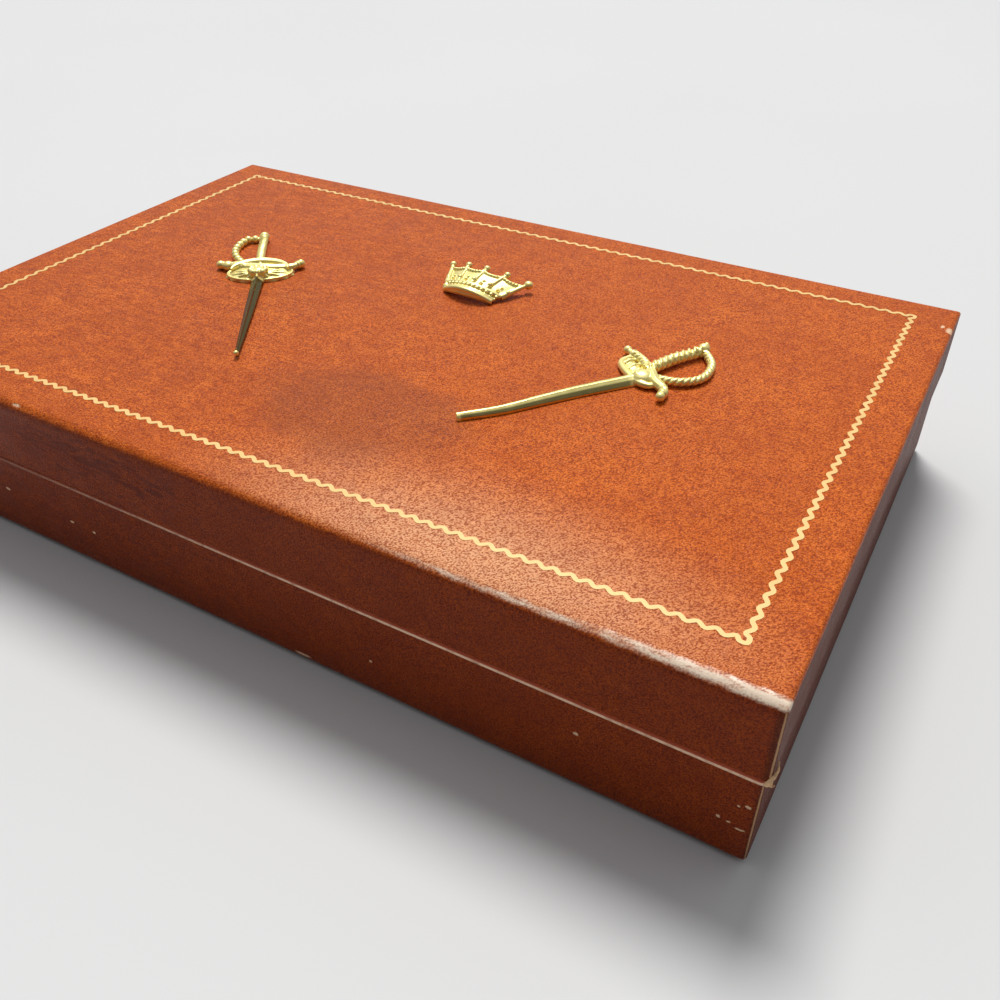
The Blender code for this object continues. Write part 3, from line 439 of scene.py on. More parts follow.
def raw_backing():
    """Pale fibrous backing of the covering, where it is cut or torn."""
    finish = Finish("raw_backing")
    fibre = finish.noise(0.0003, 3.0, 0.6, place=finish.stretched(1.0, 1.0, 3.0))
    dirt = finish.fit(finish.noise(0.0016, 3.0, 0.6), 0.4, 0.66)
    colour = finish.mix(fibre, as_seen(220, 166, 112), as_seen(252, 218, 172))
    colour = finish.mix(finish.fit(dirt, 0.0, 1.0, 0.0, 0.35), colour, as_seen(160, 90, 50))
    return finish.set(base_color=colour, roughness=0.85,
                      normal=finish.relief(fibre, 0.00008, 0.8))


def gilding():
    """Stamped gold foil, rubbed thin in flecks."""
    finish = Finish("gilding")
    rub = finish.fit(finish.noise(0.0005, 3.0, 0.65), 0.60, 0.72)
    tone = finish.noise(0.006, 2.0, 0.5)
    colour = finish.mix(tone, as_seen(228, 184, 108), as_seen(240, 200, 126))
    colour = finish.mix(finish.fit(rub, 0.0, 1.0, 0.0, 0.4), colour, as_seen(214, 160, 84))
    rough = finish.fit(tone, 0.3, 0.7, 0.34, 0.46)
    return finish.set(base_color=colour, metallic=0.05, roughness=rough,
                      normal=finish.relief(finish.noise(0.0005, 2.0, 0.5), 0.00004, 0.5))


def gilt_casting():
    """Pale gold plating, olive dark where it is deep; the polished blades' slopes are painted dark
    olive for the dark surroundings they reflect.
    """
    finish = Finish("gilt_casting")
    deep = finish.node("ShaderNodeAttribute", attribute_name="hollows").outputs["Fac"]
    deep = finish.fit(deep, 0.50, 0.28)
    polish_and_painted_reflection = finish.node("ShaderNodeAttribute", attribute_name="polish_and_painted_reflection").outputs["Fac"]
    cloud = finish.noise(0.004, 3.0, 0.6)
    colour = finish.mix(cloud, as_seen(248, 226, 134), as_seen(255, 242, 166))
    # Painted reflection: the polished blades are coloured dark olive for the dark surroundings they
    # mirror
    colour = finish.mix(polish_and_painted_reflection, colour, as_seen(108, 94, 50))
    colour = finish.mix(finish.times(deep, 0.8), colour, as_seen(104, 80, 30))
    rough = finish.fit(cloud, 0.3, 0.7, 0.32, 0.42)
    rough = finish.sums("ADD", rough, finish.times(deep, 0.25))
    rough = finish.sums("SUBTRACT", rough, finish.times(polish_and_painted_reflection, 0.14))
    return finish.set(base_color=colour, metallic=finish.fit(polish_and_painted_reflection, 0.0, 0.4, 0.55, 1.0),
                      roughness=rough,
                      normal=finish.relief(finish.noise(0.0006, 2.0, 0.5), 0.00005, 0.25))


def velvet(name, shade, pile):
    """Short velvet pile, brushed into faint lighter and darker strokes."""
    finish = Finish(name)
    strokes = finish.stretched(2.6, 1.0, 1.0, math.radians(24))
    brushed = finish.fit(finish.noise(0.013, 2.0, 0.5, 0.2, strokes), 0.30, 0.72, 0.2, 0.8)
    tuft = finish.noise(0.00035, 2.0, 0.6)
    colour = finish.mix(brushed, shade, pile)
    colour = finish.mix(finish.fit(tuft, 0.35, 0.65, 0.35, 0.0), colour, as_seen(20, 4, 6))
    return finish.set(base_color=colour, roughness=0.92, sheen_weight=0.6, sheen_roughness=0.35,
                      sheen_tint=as_seen(200, 110, 96), specular_ior_level=0.15,
                      normal=finish.relief(tuft, 0.00012, 0.8))


def satin():
    """Gold satin with its long threads running along the box."""
    finish = Finish("satin")
    thread = finish.noise(0.00016, 2.0, 0.5, place=finish.stretched(14.0, 1.0, 1.0))
    slub = finish.noise(0.0011, 2.0, 0.5, place=finish.stretched(9.0, 1.0, 1.0))
    colour = finish.mix(thread, as_seen(236, 196, 126), as_seen(252, 220, 154))
    colour = finish.mix(finish.fit(slub, 0.5, 0.68, 0.0, 0.10), colour, as_seen(176, 136, 78))
    rough = finish.fit(slub, 0.3, 0.7, 0.30, 0.42)
    return finish.set(base_color=colour, roughness=rough, sheen_weight=0.25,
                      sheen_roughness=0.3, sheen_tint=as_seen(250, 226, 168),
                      normal=finish.relief(thread, 0.00005, 0.5))


def felt():
    """Matted dark felt with loose fibres."""
    finish = Finish("felt")
    fibre = finish.noise(0.0004, 4.0, 0.7, 1.0)
    mat = finish.noise(0.004, 3.0, 0.6)
    colour = finish.mix(fibre, as_seen(26, 28, 25), as_seen(68, 71, 64))
    colour = finish.mix(finish.fit(mat, 0.4, 0.7, 0.0, 0.4), colour, as_seen(40, 42, 38))
    return finish.set(base_color=colour, roughness=0.95, sheen_weight=0.3,
                      normal=finish.relief(fibre, 0.0002, 0.9))


def poplar():
    """Bare poplar board with its grain along the length."""
    finish = Finish("poplar")
    grain = finish.noise(0.0016, 4.0, 0.6, 0.6, place=finish.stretched(24.0, 1.0, 1.0))
    pore = finish.noise(0.0003, 2.0, 0.6, place=finish.stretched(30.0, 1.0, 1.0))
    colour = finish.mix(finish.fit(grain, 0.35, 0.65), as_seen(190, 152, 106),
                        as_seen(222, 190, 144))
    colour = finish.mix(finish.fit(pore, 0.56, 0.7, 0.0, 0.35), colour, as_seen(132, 96, 58))
    return finish.set(base_color=colour, roughness=0.7, normal=finish.relief(pore, 0.0001, 0.4))


def hinge_brass():
    """Drawn hinge brass, dulled and a little tarnished."""
    finish = Finish("hinge_brass")
    drawn = finish.noise(0.0002, 2.0, 0.5, place=finish.stretched(20.0, 1.0, 1.0))
    stain = finish.fit(finish.noise(0.003, 3.0, 0.65), 0.45, 0.7)
    colour = finish.mix(drawn, as_seen(196, 156, 78), as_seen(226, 190, 112))
    colour = finish.mix(finish.fit(stain, 0.0, 1.0, 0.0, 0.55), colour, as_seen(112, 82, 44))
    rough = finish.fit(stain, 0.0, 1.0, 0.26, 0.5)
    return finish.set(base_color=colour, metallic=1.0, roughness=rough,
                      normal=finish.relief(drawn, 0.00003, 0.3))


def only(piece):
    """Makes this piece the one that operators act on."""
    bpy.ops.object.select_all(action="DESELECT")
    piece.select_set(True)
    bpy.context.view_layer.objects.active = piece


def newest(name):
    piece = bpy.context.view_layer.objects.active
    piece.name = name
    piece.data.name = name
    return piece


def settled(name):
    """Puts the newest piece's place, turn and size into its mesh, and names it."""
    bpy.ops.object.transform_apply(location=True, rotation=True, scale=True)
    return newest(name)


def joined(name, bits):
    """Joins bits into one object."""
    bpy.ops.object.select_all(action="DESELECT")
    for bit in bits:
        bit.select_set(True)
    bpy.context.view_layer.objects.active = bits[0]
    bpy.ops.object.join()
    return newest(name)


def smooth(piece, angle=None):
    """Shades a piece smooth, all over or only across edges that turn less than an angle."""
    only(piece)
    if angle is None:
        bpy.ops.object.shade_smooth()
    else:
        bpy.ops.object.shade_smooth_by_angle(angle=angle)


def block(name, low, high):
    """Adds a box between two corners."""
    bpy.ops.object.select_all(action="DESELECT")
    bpy.ops.mesh.primitive_cube_add(size=1, location=(low + high) / 2, scale=high - low)
    return settled(name)


def modify(piece, kind, **settings):
    """Adds a modifier with its settings and applies it at once."""
    only(piece)
    modifier = piece.modifiers.new(kind.title(), kind)
    for name, value in settings.items():
        setattr(modifier, name, value)
    bpy.ops.object.modifier_apply(modifier=modifier.name)
    return piece


def choose(piece, test):
    """Goes into edit mode with the faces chosen whose middle, or self, passes a test."""
    only(piece)
    bpy.ops.object.mode_set(mode="EDIT")
    bpy.ops.mesh.select_all(action="DESELECT")
    bpy.ops.mesh.select_mode(type="FACE")
    bpy.ops.object.mode_set(mode="OBJECT")
    for face in piece.data.polygons:
        corners = [piece.data.vertices[i].co for i in face.vertices]
        face.select = test(sum(corners, Vector()) / len(corners), face)
    bpy.ops.object.mode_set(mode="EDIT")


def edit_all(piece):
    """Goes into edit mode with the whole piece chosen."""
    only(piece)
    bpy.ops.object.mode_set(mode="EDIT")
    bpy.ops.mesh.select_all(action="SELECT")


def done():
    bpy.ops.object.mode_set(mode="OBJECT")


def slice_at(piece, axis, *levels):
    """Slices a piece right through, square to an axis, at each level."""
    normal = Vector((0, 0, 0))
    normal[axis] = 1
    only(piece)
    bpy.ops.object.mode_set(mode="EDIT")
    for level in levels:
        bpy.ops.mesh.select_all(action="SELECT")
        bpy.ops.mesh.bisect(plane_co=normal * level, plane_no=normal)
    done()


def cut_evenly(piece, axis, low, high, cell):
    """Slices a piece into even strips square to an axis."""
    count = max(1, round((high - low) / cell))
    slice_at(piece, axis, *[low + (high - low) * i / count for i in range(1, count)])


def weld(piece, distance):
    edit_all(piece)
    bpy.ops.mesh.remove_doubles(threshold=distance)
    done()


def round_edges(piece, low, high, radii, segments):
    """Rounds a box's edges by kind: long or short at the top or bottom, and upright."""
    largest = max(radii.values())
    weights = piece.data.attributes.new("bevel_weight_edge", "FLOAT", "EDGE")
    middle = (low.z + high.z) / 2
    for edge in piece.data.edges:
        start, end = (piece.data.vertices[i].co for i in edge.vertices)
        run = end - start
        kind = "upright"
        if abs(run.z) < max(abs(run.x), abs(run.y)):
            level = "_top" if (start.z + end.z) / 2 > middle else "_bottom"
            kind = ("long" if abs(run.x) > abs(run.y) else "short") + level
        weights.data[edge.index].value = radii[kind] / largest
    modify(piece, "BEVEL", limit_method="WEIGHT", width=largest, segments=segments,
           profile=0.5, harden_normals=False)


def cloud_texture(name, size, depth):
    texture = bpy.data.textures.new(name, "CLOUDS")
    texture.noise_scale = size
    texture.noise_depth = depth
    return texture


def turn_in(piece, level, inset):
    """Opens the flat face at a level and turns the covering in over the rim there."""
    choose(piece, lambda middle, face: abs(face.normal.z) > 0.99
           and abs(middle.z - level) < sliver)
    bpy.ops.mesh.inset(thickness=inset, depth=0)
    bpy.ops.mesh.delete(type="FACE")
    done()


def let_in_hinges(piece):
    """Cuts the covering's rim back where the hinge leaves lie."""
    joint = (base_high.z + lid_low.z) / 2
    for side in ("left", "right"):
        low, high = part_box("base_" + side + "_hinge_leaf")
        low = Vector((low.x - hinge_gap, low.y - hinge_gap, joint - notch_rise))
        high = Vector((high.x + hinge_gap, high.y, joint + notch_rise))
        slice_at(piece, 0, low.x, high.x)
        slice_at(piece, 1, low.y)
        slice_at(piece, 2, low.z, high.z)
        choose(piece, lambda middle, face, low=low, high=high: all(
            low[i] < middle[i] < high[i] for i in range(3)))
        bpy.ops.mesh.delete(type="FACE")
        done()


def covering(half, low, high, radii, hem, material):
    """Wraps the lid or the base: rounded edges, rims turned in, a faintly rippled surface."""
    name = half + "_covering"
    piece = block(name, low, high)
    round_edges(piece, low, high, radii, 6)
    if hem:
        turn_in(piece, high.z, wall_depth)
        turn_in(piece, low.z, hem_width)
    else:
        turn_in(piece, low.z, wall_depth)
    cut_evenly(piece, 0, low.x, high.x, cover_cell)
    cut_evenly(piece, 1, low.y, high.y, cover_cell)
    cut_evenly(piece, 2, low.z, high.z, cover_cell)
    if not hem:
        slice_at(piece, 1, *[low.y + edge_roll_width * share for share in (0.4, 0.55, 0.7, 0.85)])
        for point in piece.data.vertices:
            away = (point.co.y - low.y) / edge_roll_width
            if away < 1 and point.co.z > high.z - edge_roll_depth:
                point.co.z -= edge_roll * (1 - away) ** 2
    weld(piece, sliver)
    let_in_hinges(piece)
    ripple = cloud_texture(name + "_ripple", cover_ripple_size, 2)
    modify(piece, "DISPLACE", texture=ripple, strength=cover_ripple, mid_level=0.5,
           texture_coords="LOCAL")
    modify(piece, "SOLIDIFY", thickness=wrap_thickness, offset=-1)
    smooth(piece, crisp_angle)
    return in_place(piece, name, material, half, [half + "_wrap"])


def in_place(piece, name, material, body, nodes=()):
    """Names and finishes a piece, and lets it ride on its body."""
    piece.name = name
    piece.data.name = name
    piece.data.materials.clear()
    piece.data.materials.append(material)
    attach(piece, body)
    if nodes:
        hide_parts(*nodes)
    return piece


def smooth_route(points, pieces, closed=False):
    """Samples a smooth curve through points, with so many pieces in each span."""
    points = [Vector(point) for point in points]
    if closed:
        ends = points[-1:] + points + points[:2]
    else:
        ends = [2 * points[0] - points[1]] + points + [2 * points[-1] - points[-2]]
    route = []
    for i in range(1, len(ends) - 2):
        before, start, end, after = ends[i - 1:i + 3]
        for step in range(pieces):
            t = step / pieces
            pull = (end - before) * t + (2 * before - 5 * start + 4 * end - after) * t ** 2
            route.append(start + (pull + (3 * start - before - 3 * end + after) * t ** 3) / 2)
    return route if closed else route + [points[-1]]


def even_route(route, step):
    """Gives a route with points at an even spacing."""
    spots = [route[0]]
    left = step
    for start, end in zip(route, route[1:]):
        run = (end - start).length
        while left <= run:
            spots.append(start.lerp(end, left / run))
            left += step
        left -= run
    return spots + [route[-1]]


def value_at(values, t):
    """Reads a list of values at a share t of its length, joining them straight."""
    place = t * (len(values) - 1)
    index = min(int(place), len(values) - 2)
    return values[index] + (values[index + 1] - values[index]) * (place - index)


def polyline(name, points, closed):
    """Adds a curve that runs straight from point to point."""
    bpy.ops.object.select_all(action="DESELECT")
    bpy.ops.curve.primitive_bezier_curve_add(location=(0, 0, 0))
    drawn = newest(name)
    drawn.data.splines.clear()
    spline = drawn.data.splines.new("POLY")
    spline.points.add(len(points) - 1)
    for point, place in zip(spline.points, points):
        point.co = (*place, 1)
    spline.use_cyclic_u = closed
    return drawn


def swept(route, radii, section=None, closed=False, roundness=2):
    """Draws a wire, or a unit section, along a route; a section that is all flat stays open."""
    wire = polyline("wire", route, closed)
    path = wire.data
    path.twist_mode = "Z_UP"
    path.use_fill_caps = not closed
    for i, point in enumerate(path.splines[0].points):
        point.radius = value_at(radii, i / (len(route) - 1))
    if section:
        outline = polyline("outline", [(across, up, 0) for across, up in section],
                           any(up for across, up in section))
        outline.data.dimensions = "2D"
        path.bevel_mode = "OBJECT"
        path.bevel_object = outline
    else:
        path.bevel_depth = 1
        path.bevel_resolution = roundness
    only(wire)
    bpy.ops.object.convert(target="MESH")
    wire = newest("wire")
    if section:
        bpy.data.objects.remove(outline)
    return wire


def twisted(route, reach, strands, pitch, thickness):
    """Winds round strands about a route, one turn in each pitch."""
    spots = even_route(route, pitch / 10)
    wires = []
    for strand in range(strands):
        path = []
        for i, spot in enumerate(spots):
            along = (spots[min(i + 1, len(spots) - 1)] - spots[max(i - 1, 0)]).normalized()
            side = along.cross(Vector((0, 0, 1))).normalized()
            angle = 2 * math.pi * (i / 10 + strand / strands)
            path.append(spot + reach * (side * math.cos(angle)
                                        + side.cross(along) * math.sin(angle)))
        wires.append(swept(path, [thickness, thickness]))
    return wires


def bead(place, radius, flat=1.0):
    """Adds a ball, flattened if need be, at a place."""
    bpy.ops.object.select_all(action="DESELECT")
    bpy.ops.mesh.primitive_uv_sphere_add(segments=16, ring_count=10, radius=radius,
                                         location=place)
    bpy.context.view_layer.objects.active.scale = (1, 1, flat)
    return settled("bead")


def collar(place, facing, radius, thickness):
    """Adds a ring round an axis that faces this way."""
    turn = Vector((0, 0, 1)).rotation_difference(Vector(facing)).to_euler()
    bpy.ops.object.select_all(action="DESELECT")
    bpy.ops.mesh.primitive_torus_add(major_segments=24, minor_segments=8, location=place,
                                     rotation=turn, major_radius=radius, minor_radius=thickness)
    return settled("collar")


def mark_hollows(casting, rounds, span):
    """Stores on each point how far it stands out of, or lies below, what surrounds it."""
    only(casting)
    bpy.ops.object.duplicate()
    even = modify(newest("even"), "SMOOTH", factor=0.5, iterations=rounds)
    values = [0.5 + (point.co - other.co).dot(point.normal) / span
              for point, other in zip(casting.data.vertices, even.data.vertices)]
    bpy.data.objects.remove(even)
    casting.data.attributes.new("hollows", "FLOAT", "POINT").data.foreach_set("value", values)


def mark_polish(casting, start, most):
    """Stores on each point how polished it is, which also sets the blade's painted dark reflection:
    the most on the blade, but for its very tip.
    """
    tip = max(point.co.x for point in casting.data.vertices) - tip_bare
    values = [most * min(max((point.co.x - start) / polish_fade, 0.0), 1.0)
              * min(max((tip - point.co.x) / tip_fade, 0.0), 1.0)
              for point in casting.data.vertices]
    casting.data.attributes.new("polish_and_painted_reflection", "FLOAT", "POINT").data.foreach_set("value", values)


def cast(name, bits, place, turn, material, blade_start=1.0, polish_and_painted_reflection=0.0):
    """Melts a casting's bits together, cuts its back flat and seats it on the lid."""
    casting = joined(name, bits)
    modify(casting, "REMESH", mode="VOXEL", voxel_size=casting_voxel)
    modify(casting, "SMOOTH", factor=0.5, iterations=2)
    edit_all(casting)
    bpy.ops.mesh.bisect(plane_co=(0, 0, 0), plane_no=(0, 0, 1), use_fill=True,
                        clear_inner=True, threshold=casting_voxel / 1000)
    done()
    mark_hollows(casting, hollow_rounds, hollow_span)
    mark_polish(casting, blade_start, polish_and_painted_reflection)
    casting.matrix_world = (Matrix.Translation(place + Vector((0, 0, casting_seat)))
                            @ Matrix.Rotation(turn, 4, "Z"))
    only(casting)
    settled(name)
    smooth(casting)
    return in_place(casting, name, material, "lid", [name])


def in_sizes(shares, size, rise):
    """Turns route points given as shares of a size into places at a height."""
    return [Vector((across * size, along * size, rise)) for across, along in shares]


def shell_guard():
    """Makes the smallsword's fluted shell with its raised crescent and rosette."""
    half = Vector((0.00625, 0.0110))
    bpy.ops.object.select_all(action="DESELECT")
    bpy.ops.mesh.primitive_uv_sphere_add(segments=112, ring_count=20, radius=1,
                                         location=(0, 0, 0))
    shell = newest("shell")
    for point in shell.data.vertices:
        angle = math.atan2(point.co.y, point.co.x)
        flute = 1 + 0.03 * (1 - max(point.co.z, 0)) * math.cos(14 * angle)
        point.co = (point.co.x * half.x * flute, point.co.y * half.y * flute,
                    point.co.z * 0.0021)
    bits = [shell]
    rim = [Vector((math.cos(angle) * half.x * 0.80, math.sin(angle) * half.y * 0.82, 0.0022))
           for angle in (math.radians(88 + 184 * i / 40) for i in range(41))]
    bits.append(swept(rim, [0.0004, 0.0010, 0.0014, 0.0016, 0.0014, 0.0010, 0.0004]))
    lip = [Vector((math.cos(angle) * half.x * 0.93, math.sin(angle) * half.y * 0.94, 0.0008))
           for angle in (2 * math.pi * i / 80 for i in range(80))]
    bits.append(swept(lip, [0.00042, 0.00042], closed=True))
    for i in range(9):
        angle = math.radians(-96 + 192 * i / 8)
        start = Vector((0.0030, 0, 0.0018)) + Vector((math.cos(angle), math.sin(angle), 0)) * 0.0012
        end = Vector((math.cos(angle) * half.x * 0.88, math.sin(angle) * half.y * 0.88, 0.0010))
        bits.append(swept([start, start.lerp(end, 0.5) + Vector((0, 0, 0.0004)), end],
                          [0.0003, 0.0005, 0.0003]))
    bits.append(bead((0.0030, 0, 0.0018), 0.0029, 0.75))
    for i in range(9):
        angle = 2 * math.pi * i / 9
        bits.append(bead((0.0030 + 0.0021 * math.cos(angle), 0.0024 * math.sin(angle), 0.0030),
                         0.0010))
    return bits


def smallsword(material):
    """Casts the smallsword: +X runs from the shell guard to the point."""
    size = smallsword_length
    bits = shell_guard()
    grip = smooth_route(in_sizes([(-0.03, -0.006), (-0.16, -0.013), (-0.30, -0.018)], size,
                                 0.0015), 12)
    bits.append(swept(grip, [0.0010, 0.0013, 0.0014, 0.0012, 0.0009]))
    bits += twisted(grip, 0.00115, 3, 0.0050, 0.00040)
    bow = smooth_route(in_sizes([(-0.300, -0.026), (-0.306, -0.078), (-0.243, -0.110),
                                 (-0.168, -0.112), (-0.092, -0.080), (-0.040, -0.030)],
                                size, 0.0011), 12)
    bits.append(swept(bow, [0.0008, 0.0008]))
    bits += [bead(spot, 0.00135) for spot in even_route(bow, 0.0025)[1:-1]]
    quillon = smooth_route(in_sizes([(-0.064, -0.150), (-0.045, -0.095), (-0.020, 0.0),
                                     (-0.015, 0.095), (-0.047, 0.145)], size, 0.0014), 12)
    bits.append(swept(quillon, [0.0007, 0.0012, 0.0018, 0.0014, 0.0009]))
    bits += twisted(quillon[4:18], 0.0009, 2, 0.0040, 0.0008)
    bits += [bead(quillon[7], 0.0019, 0.85), bead(quillon[13], 0.0021, 0.85)]
    for index, lean in ((0, 3), (-1, -4)):
        bits.append(bead(quillon[index], 0.0015))
        bits.append(collar(quillon[lean], quillon[lean] - quillon[index], 0.0009, 0.0005))
    pommel = Vector((-0.315 * size, -0.018 * size, 0.0015))
    bits.append(bead(pommel, 0.0018))
    bits.append(bead(pommel - Vector((0.0024, 0, 0)), 0.0009))
    bits.append(collar(pommel + Vector((0.0017, 0, 0)), (1, 0, 0), 0.0010, 0.0004))
    bits.append(collar(grip[2], (1, 0, 0), 0.0012, 0.0005))
    blade = [Vector(((0.05 + 0.575 * i / 12) * size, 0, 0.0013)) for i in range(13)]
    bits.append(swept(blade, [0.0020, 0.0018, 0.0016, 0.0013, 0.0010, 0.0006],
                      [(1, -0.35), (0.90, 0.0), (0.26, 0.42), (0.16, 0.85), (0, 0.92),
                       (-0.16, 0.85), (-0.26, 0.42), (-0.90, 0.0), (-1, -0.35), (0, -0.6)]))
    bits.append(bead(blade[-1] + Vector((0.0001, 0, 0.0002)), 0.0008))
    return cast("smallsword", bits, smallsword_place, smallsword_turn, material,
                smallsword_blade_start, smallsword_polish_and_painted_reflection)


def sabre(material):
    """Casts the sabre: +X runs from the cross guard to the blunt point."""
    size = sabre_length
    blade = smooth_route(in_sizes([(0.02, 0.002), (0.24, 0.002), (0.38, 0.008),
                                   (0.53, 0.016), (0.683, 0.003)], size, 0.0012), 8)
    bits = [swept(blade, [0.00145, 0.00135, 0.00118, 0.00098, 0.00080],
                  [(-1, -1.8), (-1, -0.46), (-0.46, 0.36), (0.16, 0.72), (0.26, 0.80),
                   (0.90, 0.80), (1, 0.68), (1, -1.8)])]
    grip = smooth_route(in_sizes([(-0.020, -0.030), (-0.15, -0.066), (-0.270, -0.083)], size,
                                 0.0018), 12)
    bits.append(swept(grip, [0.0012, 0.0015, 0.0016, 0.0013, 0.0010]))
    bits += twisted(grip, 0.0014, 3, 0.0060, 0.00042)
    bow = smooth_route(in_sizes([(-0.284, -0.078), (-0.259, 0.008), (-0.205, 0.066),
                                 (-0.149, 0.085), (-0.085, 0.068), (-0.030, 0.020)],
                                size, 0.0013), 12)
    bits += twisted(bow, 0.00062, 3, 0.0050, 0.00066)
    guard = smooth_route(in_sizes([(-0.031, -0.189), (-0.044, -0.101), (-0.036, -0.030),
                                   (-0.018, 0.040), (-0.018, 0.105), (0.013, 0.139)],
                                  size, 0.0015), 8)
    bits.append(swept(guard, [0.0009, 0.0013, 0.0017, 0.0014, 0.0009]))
    bits += twisted(guard[3:16], 0.0010, 3, 0.0050, 0.0005)
    bits += twisted(guard[26:38], 0.0009, 3, 0.0044, 0.0005)
    for index, lean in ((0, 3), (-1, -4)):
        bits.append(bead(guard[index], 0.0013))
        bits.append(collar(guard[lean], guard[lean] - guard[index], 0.0010, 0.0004))
    langet = smooth_route(in_sizes([(-0.038, -0.150), (0.023, -0.129), (0.040, -0.070),
                                    (0.036, 0.010), (0.015, 0.050), (-0.016, 0.060)],
                                   size, 0.0011), 8)
    bits.append(swept(langet, [0.0008, 0.0010, 0.0011, 0.0010, 0.0008]))
    plate = in_sizes([(-0.006, -0.150), (0.002, -0.070), (0.004, 0.050)], size, -0.0010)
    bits.append(swept(smooth_route(plate, 6), [0.0014, 0.0026, 0.0028, 0.0026, 0.0014],
                      roundness=4))
    for i in range(5):
        start = Vector((-0.026, -0.120 + 0.036 * i, 0)) * size + Vector((0, 0, 0.0013))
        end = Vector((0.028, -0.112 + 0.036 * i, 0)) * size + Vector((0, 0, 0.0010))
        bits.append(swept([start, start.lerp(end, 0.5) + Vector((0, 0, 0.0005)), end],
                          [0.0005, 0.0007, 0.0005]))
    bits.append(bead((0.0006, 0, 0.0015), 0.0030, 0.62))
    bits.append(collar((0.0010, -0.0002, 0.0026), (0, 0, 1), 0.0013, 0.0005))
    pommel = Vector((-0.284 * size, -0.088 * size, 0.0018))
    bits.append(bead(pommel, 0.0018))
    bits.append(bead(pommel - Vector((0.0018, 0.0018, 0)), 0.0009))
    bits.append(collar(grip[-3], grip[-1] - grip[-4], 0.0011, 0.0005))
    return cast("sabre", bits, sabre_place, sabre_turn, material, sabre_blade_start,
                sabre_polish_and_painted_reflection)


def crown_spot(t, across, proud=0.0):
    """Gives a place on the coronet's face, t up it and across it from -1 to 1."""
    half = proud + crown_half_foot + crown_flare * t
    arch = (crown_arch - 0.0003 * t) * (1 - across ** 2)
    return Vector((half * across, crown_height * t + crown_sag * across ** 2,
                   crown_lift + crown_lean * t + arch + proud))


def crown_edge(across):
    """Gives how far up the coronet's edge is: five points with round dips between them."""
    off_point = abs((across + 1) * 2 % 1 - 0.5) * 2
    return 0.79 + 0.07 * off_point ** 2


def crown(material):
    """Casts the coronet: a flared half shell, banded, beaded and jewelled."""
    bpy.ops.object.select_all(action="DESELECT")
    bpy.ops.mesh.primitive_grid_add(x_subdivisions=96, y_subdivisions=14, size=2,
                                    location=(0, 0, 0))
    shell = newest("shell")
    for point in shell.data.vertices:
        across, up = point.co.x, (point.co.y + 1) / 2
        point.co = crown_spot(crown_edge(across) * up, across)
    bits = [modify(shell, "SOLIDIFY", thickness=0.0010, offset=-1)]
    sweep = [2 * i / 48 - 1 for i in range(49)]
    for t, radius in ((0.0, 0.00085), (0.095, 0.00045), (0.245, 0.00075)):
        bits.append(swept([crown_spot(t, across, 0.0003) for across in sweep], [radius, radius]))
    foot = [crown_spot(0.03, across, 0.0002) for across in sweep]
    bits.append(swept([Vector((spot.x, spot.y, spot.z * 0.68)) for spot in foot],
                      [0.0009, 0.0012, 0.0013, 0.0012, 0.0009]))
    bits += [bead(crown_spot(0.12, -1), 0.0013), bead(crown_spot(0.97, 1), 0.0015, 0.9)]
    edge = [crown_spot(crown_edge(across), across, 0.0001) for across in sweep]
    bits += twisted(edge, 0.00030, 2, 0.0020, 0.00032)
    for i in range(13):
        bits.append(bead(crown_spot(0.168, (2 * i / 12 - 1) * 0.94, 0.0005), 0.00058))
    for i in range(5):
        across = 2 * i / 4 - 1
        thick = 1.7 if i in (0, 4) else 1.1
        bits.append(swept([crown_spot(t, across * 0.985, 0.0001) for t in (0.26, 0.6, 0.80, 0.93)],
                          [0.0007 * thick, 0.0005 * thick, 0.00042 * thick, 0.0004]))
        bits.append(bead(crown_spot(0.44, across * 0.97, 0.0004), 0.00085))
        bits.append(bead(crown_spot(1.0, across, 0.0), 0.0011))
        bits.append(collar(crown_spot(0.90, across), crown_spot(1, across)
                           - crown_spot(0.9, across), 0.0005, 0.00032))
    for i in range(4):
        bits.append(bead(crown_spot(0.40, (2 * i + 1) / 4 - 1, 0.0003), 0.00055))
        bits.append(bead(crown_spot(0.52, (2 * i + 1) / 4 - 1, 0.0002), 0.0004))
    return cast("crown", bits, crown_place, crown_turn, material)


def wave_line():
    """Gives the gilt border's closed middle line, turning outwards round each corner."""
    half = Vector((lid_high.x - border_inset, lid_high.y - border_inset))
    corners = [Vector((-half.x, -half.y)), Vector((half.x, -half.y)),
               Vector((half.x, half.y)), Vector((-half.x, half.y))]
    turns = []
    for i, corner in enumerate(corners):
        run = corners[(i + 1) % 4] - corner
        before = corner - corners[i - 1]
        out = Vector((run.y, -run.x)).normalized() * border_swing / 2
        out_before = Vector((before.y, -before.x)).normalized() * border_swing / 2
        waves = round(run.length / border_pitch)
        back = before.normalized() * border_corner
        turns += [corner - back + out_before, corner + (out_before + out) * 0.9,
                  corner + run.normalized() * border_corner + out]
        turns += [corner + run * step / (2 * waves) + (-out if step % 2 else out)
                  for step in range(1, 2 * waves)]
    return smooth_route([Vector((*place, lid_top + foil_rise)) for place in turns], 4, True)


